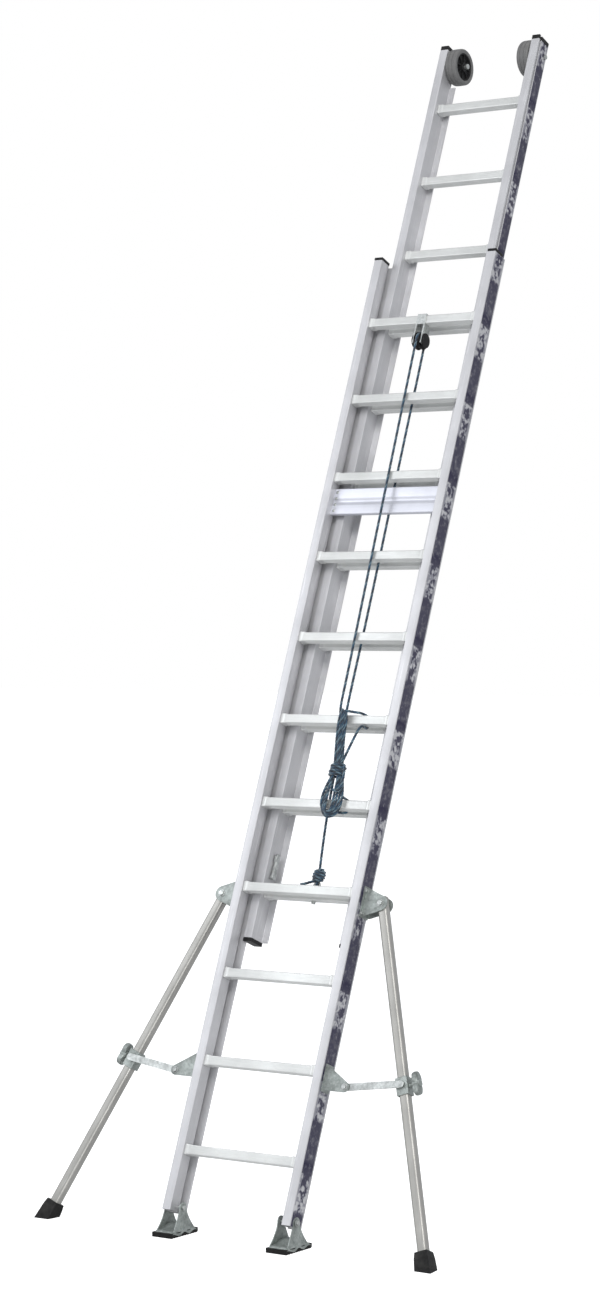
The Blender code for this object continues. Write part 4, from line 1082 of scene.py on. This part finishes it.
facing_right = Matrix.Rotation(math.pi / 2, 4, "Y")
facing_left = Matrix.Rotation(-math.pi / 2, 4, "Y")
tray_top = 0.0196
tray_half_width = 0.0398
tray_half_length = 0.0668
tray_waves = 9
cheek_half = 0.0165
cheek_out = 0.0275
cheek_foot = tray_top - 0.0030
bolt_seat = 0.0292
for word, _ in sides:
    pivot = Vector(joints[f"foot_tilt_{word}"]["pos_m"])
    rows = []
    for ring in range(15):
        part = ring / 14
        loop = []
        for step in range(97):
            angle = math.tau * step / 96
            squareness = (abs(math.cos(angle)) ** 10 + abs(math.sin(angle)) ** 10) ** -0.1
            across = tray_half_width * squareness * math.cos(angle) * part
            run = tray_half_length * squareness * math.sin(angle) * part
            rim = max(0.0, (part - 0.78) / 0.22) ** 1.6
            wave = 0.0042 * math.cos(tray_waves * angle + 0.6) * rim
            dome = 0.0190 * math.exp(-((run / 0.026) ** 2) - (across / 0.030) ** 4)
            drop = 0.0112 * rim
            loop.append((pivot.x + across, pivot.y + run, tray_top + dome - drop + wave))
        rows.append(loop)
    tray = sheet_piece(f"foot_tray_{word}", rows, 0.0020, dull_steel, f"foot_{word}", f"foot_shoe_{word}")
    for face_side, place_word in ((-1, "left"), (1, "right")):
        rows = []
        for step in range(15):
            up = step / 14
            half = cheek_half + 0.0365 * (1.0 - up) ** 1.45
            out = cheek_out + 0.0045 * (1.0 - up) ** 3
            height = cheek_foot + (pivot.z - cheek_foot) * up
            spread = [half * (column / 6 - 1) for column in range(13)]
            rows.append([(pivot.x + face_side * out, pivot.y + run, height) for run in spread])
        for step in range(1, 9):
            angle = math.pi / 2 * step / 8
            half = cheek_half * math.cos(angle) + 0.0004
            height = pivot.z + cheek_half * math.sin(angle)
            spread = [half * (column / 6 - 1) for column in range(13)]
            rows.append([(pivot.x + face_side * cheek_out, pivot.y + run, height) for run in spread])
        cheek = sheet_piece(f"foot_cheek_{place_word}_{word}", rows, 0.0030, dull_steel, f"foot_{word}")
        turn = facing_right if face_side > 0 else facing_left
        place = Matrix.Translation(pivot + Vector((face_side * bolt_seat, 0.0, 0.0))) @ turn
        fastener(f"foot_bolt_{place_word}_{word}", place, 0.0085, 0.0070, f"foot_{word}")
    shank = turned_shape([(-0.0300, 0.0040), (0.0300, 0.0040)], 20, (0, 0, 0))
    bmesh.ops.translate(shank, vec=pivot, verts=shank.verts)
    keep_mesh(f"foot_shank_{word}", shank, zinc, f"foot_{word}", local=False)
    softened(f"foot_sole_{word}", foot_rubber, f"foot_{word}", 0.0008)


# ------------------------------------------------------------------ stabilisers
# A folding leg on each side: a drawn aluminium tube with rounded corners, hinged in a pressed bracket
# and ending in a rubber foot. A flat brace swings from a lower bracket to a sleeve clamped on the
# leg by a bolt with a cast wing grip.
def drawn_material():
    made, tree, shader = new_material("drawn tube", metallic=0.6)
    along = add_node(
        tree, "ShaderNodeAttribute", attribute_name="leg_place", attribute_type="GEOMETRY"
    ).outputs["Vector"]
    effect = add_node(tree, "ShaderNodeGroup", {}, node_tree=grain)
    tree.links.new(along, effect.inputs["Vector"])
    effect.inputs["Fineness"].default_value = 650.0
    bright = ramp(tree, effect.outputs["Lines"], (0.3, (0.335, 0.33, 0.31)), (0.7, (0.385, 0.38, 0.36)))
    dull = ramp(tree, effect.outputs["Smudges"], (0.3, 0.84), (0.7, 1.06))
    metal = mix_colour(tree, 1.0, bright, dull, "MULTIPLY")
    worn = mix_colour(
        tree, calculate(tree, "MULTIPLY", effect.outputs["Scratches"], 0.4), metal, (0.66, 0.66, 0.64)
    )
    tree.links.new(worn, shader.inputs["Base Color"])
    tree.links.new(
        ramp(tree, effect.outputs["Lines"], (0.3, 0.38), (0.7, 0.46)), shader.inputs["Roughness"]
    )
    add_bump(tree, shader, effect.outputs["Lines"], 0.12, 0.0003)
    return made


tube_metal = drawn_material()
leg_length = 1.122
clamp_distance = 0.589
grip_seat = 0.0193
hinge_seat = 0.0192
brace_front = 0.0160
stile_seat = 0.2392
fixing_radius = 0.0052
fixing_length = 0.0042
for word, side in sides:
    hinge = Vector(joints[f"leg_fold_{word}"]["pos_m"])
    up_leg = -Vector(joints[f"clamp_slide_{word}"]["axis"]).normalized()
    across_leg = depth.cross(up_leg).normalized()
    leg = Matrix.Translation(hinge) @ Matrix((across_leg, depth, up_leg)).transposed().to_4x4()
    shape = bmesh.new()
    box = [(-0.016, -0.015), (0.016, -0.015), (0.016, 0.015), (-0.016, 0.015)]
    bore = [(-0.014, -0.013), (0.014, -0.013), (0.014, 0.013), (-0.014, 0.013)]
    hollow_section(shape, filleted(box, 0.0105, 6), filleted(bore, 0.0085, 6), -leg_length, 0.0215)
    leg_layer = shape.verts.layers.float_vector.new("leg_place")
    for vert in shape.verts:
        vert[leg_layer] = vert.co
    bmesh.ops.transform(shape, matrix=leg, verts=shape.verts)
    leg_piece = keep_mesh(
        f"stabiliser_tube_{word}", shape, tube_metal, f"leg_{word}", f"stabiliser_leg_{word}", local=False
    )
    softened(f"stabiliser_foot_{word}", foot_rubber, f"leg_{word}", 0.0085)
    softened(f"stabiliser_clamp_{word}", dull_steel, f"clamp_{word}", 0.0010)
    grip = bmesh.new()
    outline = []
    for step in range(32):
        angle = math.tau * step / 32
        lobe = 0.0098 + 0.0262 * abs(math.sin(angle)) ** 1.6
        outline.append((lobe * math.cos(angle), lobe * math.sin(angle)))
    loops = []
    for along, swell in ((0.0150, 0.88), (0.0165, 1.0), (0.0235, 1.03), (0.0310, 1.0), (0.0327, 0.86)):
        points = [grip.verts.new((side * (grip_seat + along), a * swell, b * swell)) for a, b in outline]
        loops.append(points)
    for first, second in zip(loops, loops[1:]):
        for number in range(len(first)):
            following = (number + 1) % len(first)
            grip.faces.new((first[number], first[following], second[following], second[number]))
    grip.faces.new(loops[0])
    grip.faces.new(loops[-1])
    bmesh.ops.transform(
        grip, matrix=leg @ Matrix.Translation((0.0, 0.0, -clamp_distance)), verts=grip.verts
    )
    keep_mesh(f"wing_grip_{word}", grip, dull_steel, f"clamp_{word}", local=False)
    softened(f"stabiliser_brace_{word}", zinc, f"brace_{word}", 0.0009)
    softened(f"stabiliser_hinge_{word}", dull_steel, "base", 0.0012)
    softened(f"brace_bracket_{word}", dull_steel, "base", 0.0012)

    # Bolts: the hinge's head and nut, the brace's pivot, and the brackets' fixings in the stile.
    turned_front = Matrix.Rotation(-lean_back, 4, "X") @ Matrix.Rotation(math.pi / 2, 4, "X")
    turned_back = Matrix.Rotation(-lean_back, 4, "X") @ Matrix.Rotation(-math.pi / 2, 4, "X")
    front_seat = Matrix.Translation(hinge - hinge_seat * depth) @ turned_front
    back_seat = Matrix.Translation(hinge + hinge_seat * depth) @ turned_back
    fastener(f"hinge_head_{word}", front_seat, 0.0094, 0.0075, "base")
    fastener(f"hinge_nut_{word}", back_seat, 0.0094, 0.0085, "base")
    pin = Vector(joints[f"brace_swing_{word}"]["pos_m"])
    pin_local = ladder.inverted() @ pin
    pin_face = ladder @ Vector((pin_local.x, brace_front, pin_local.z))
    fastener(f"brace_head_{word}", Matrix.Translation(pin_face) @ turned_front, 0.0084, 0.0068, "base")
    hinge_local = ladder.inverted() @ hinge
    outwards = Matrix.Rotation(-lean_back, 4, "X") @ (facing_right if side > 0 else facing_left)
    for number, rise in enumerate((-0.036, 0.036)):
        spot = Matrix.Translation(ladder @ Vector((side * stile_seat, 0.0245, hinge_local.z + rise)))
        fastener(f"hinge_fixing_{number}_{word}", spot @ outwards, fixing_radius, fixing_length, "base")
    for number, rise in enumerate((-0.006, 0.046)):
        spot = Matrix.Translation(ladder @ Vector((side * stile_seat, 0.036, pin_local.z + rise)))
        fastener(f"bracket_fixing_{number}_{word}", spot @ outwards, fixing_radius, fixing_length, "base")
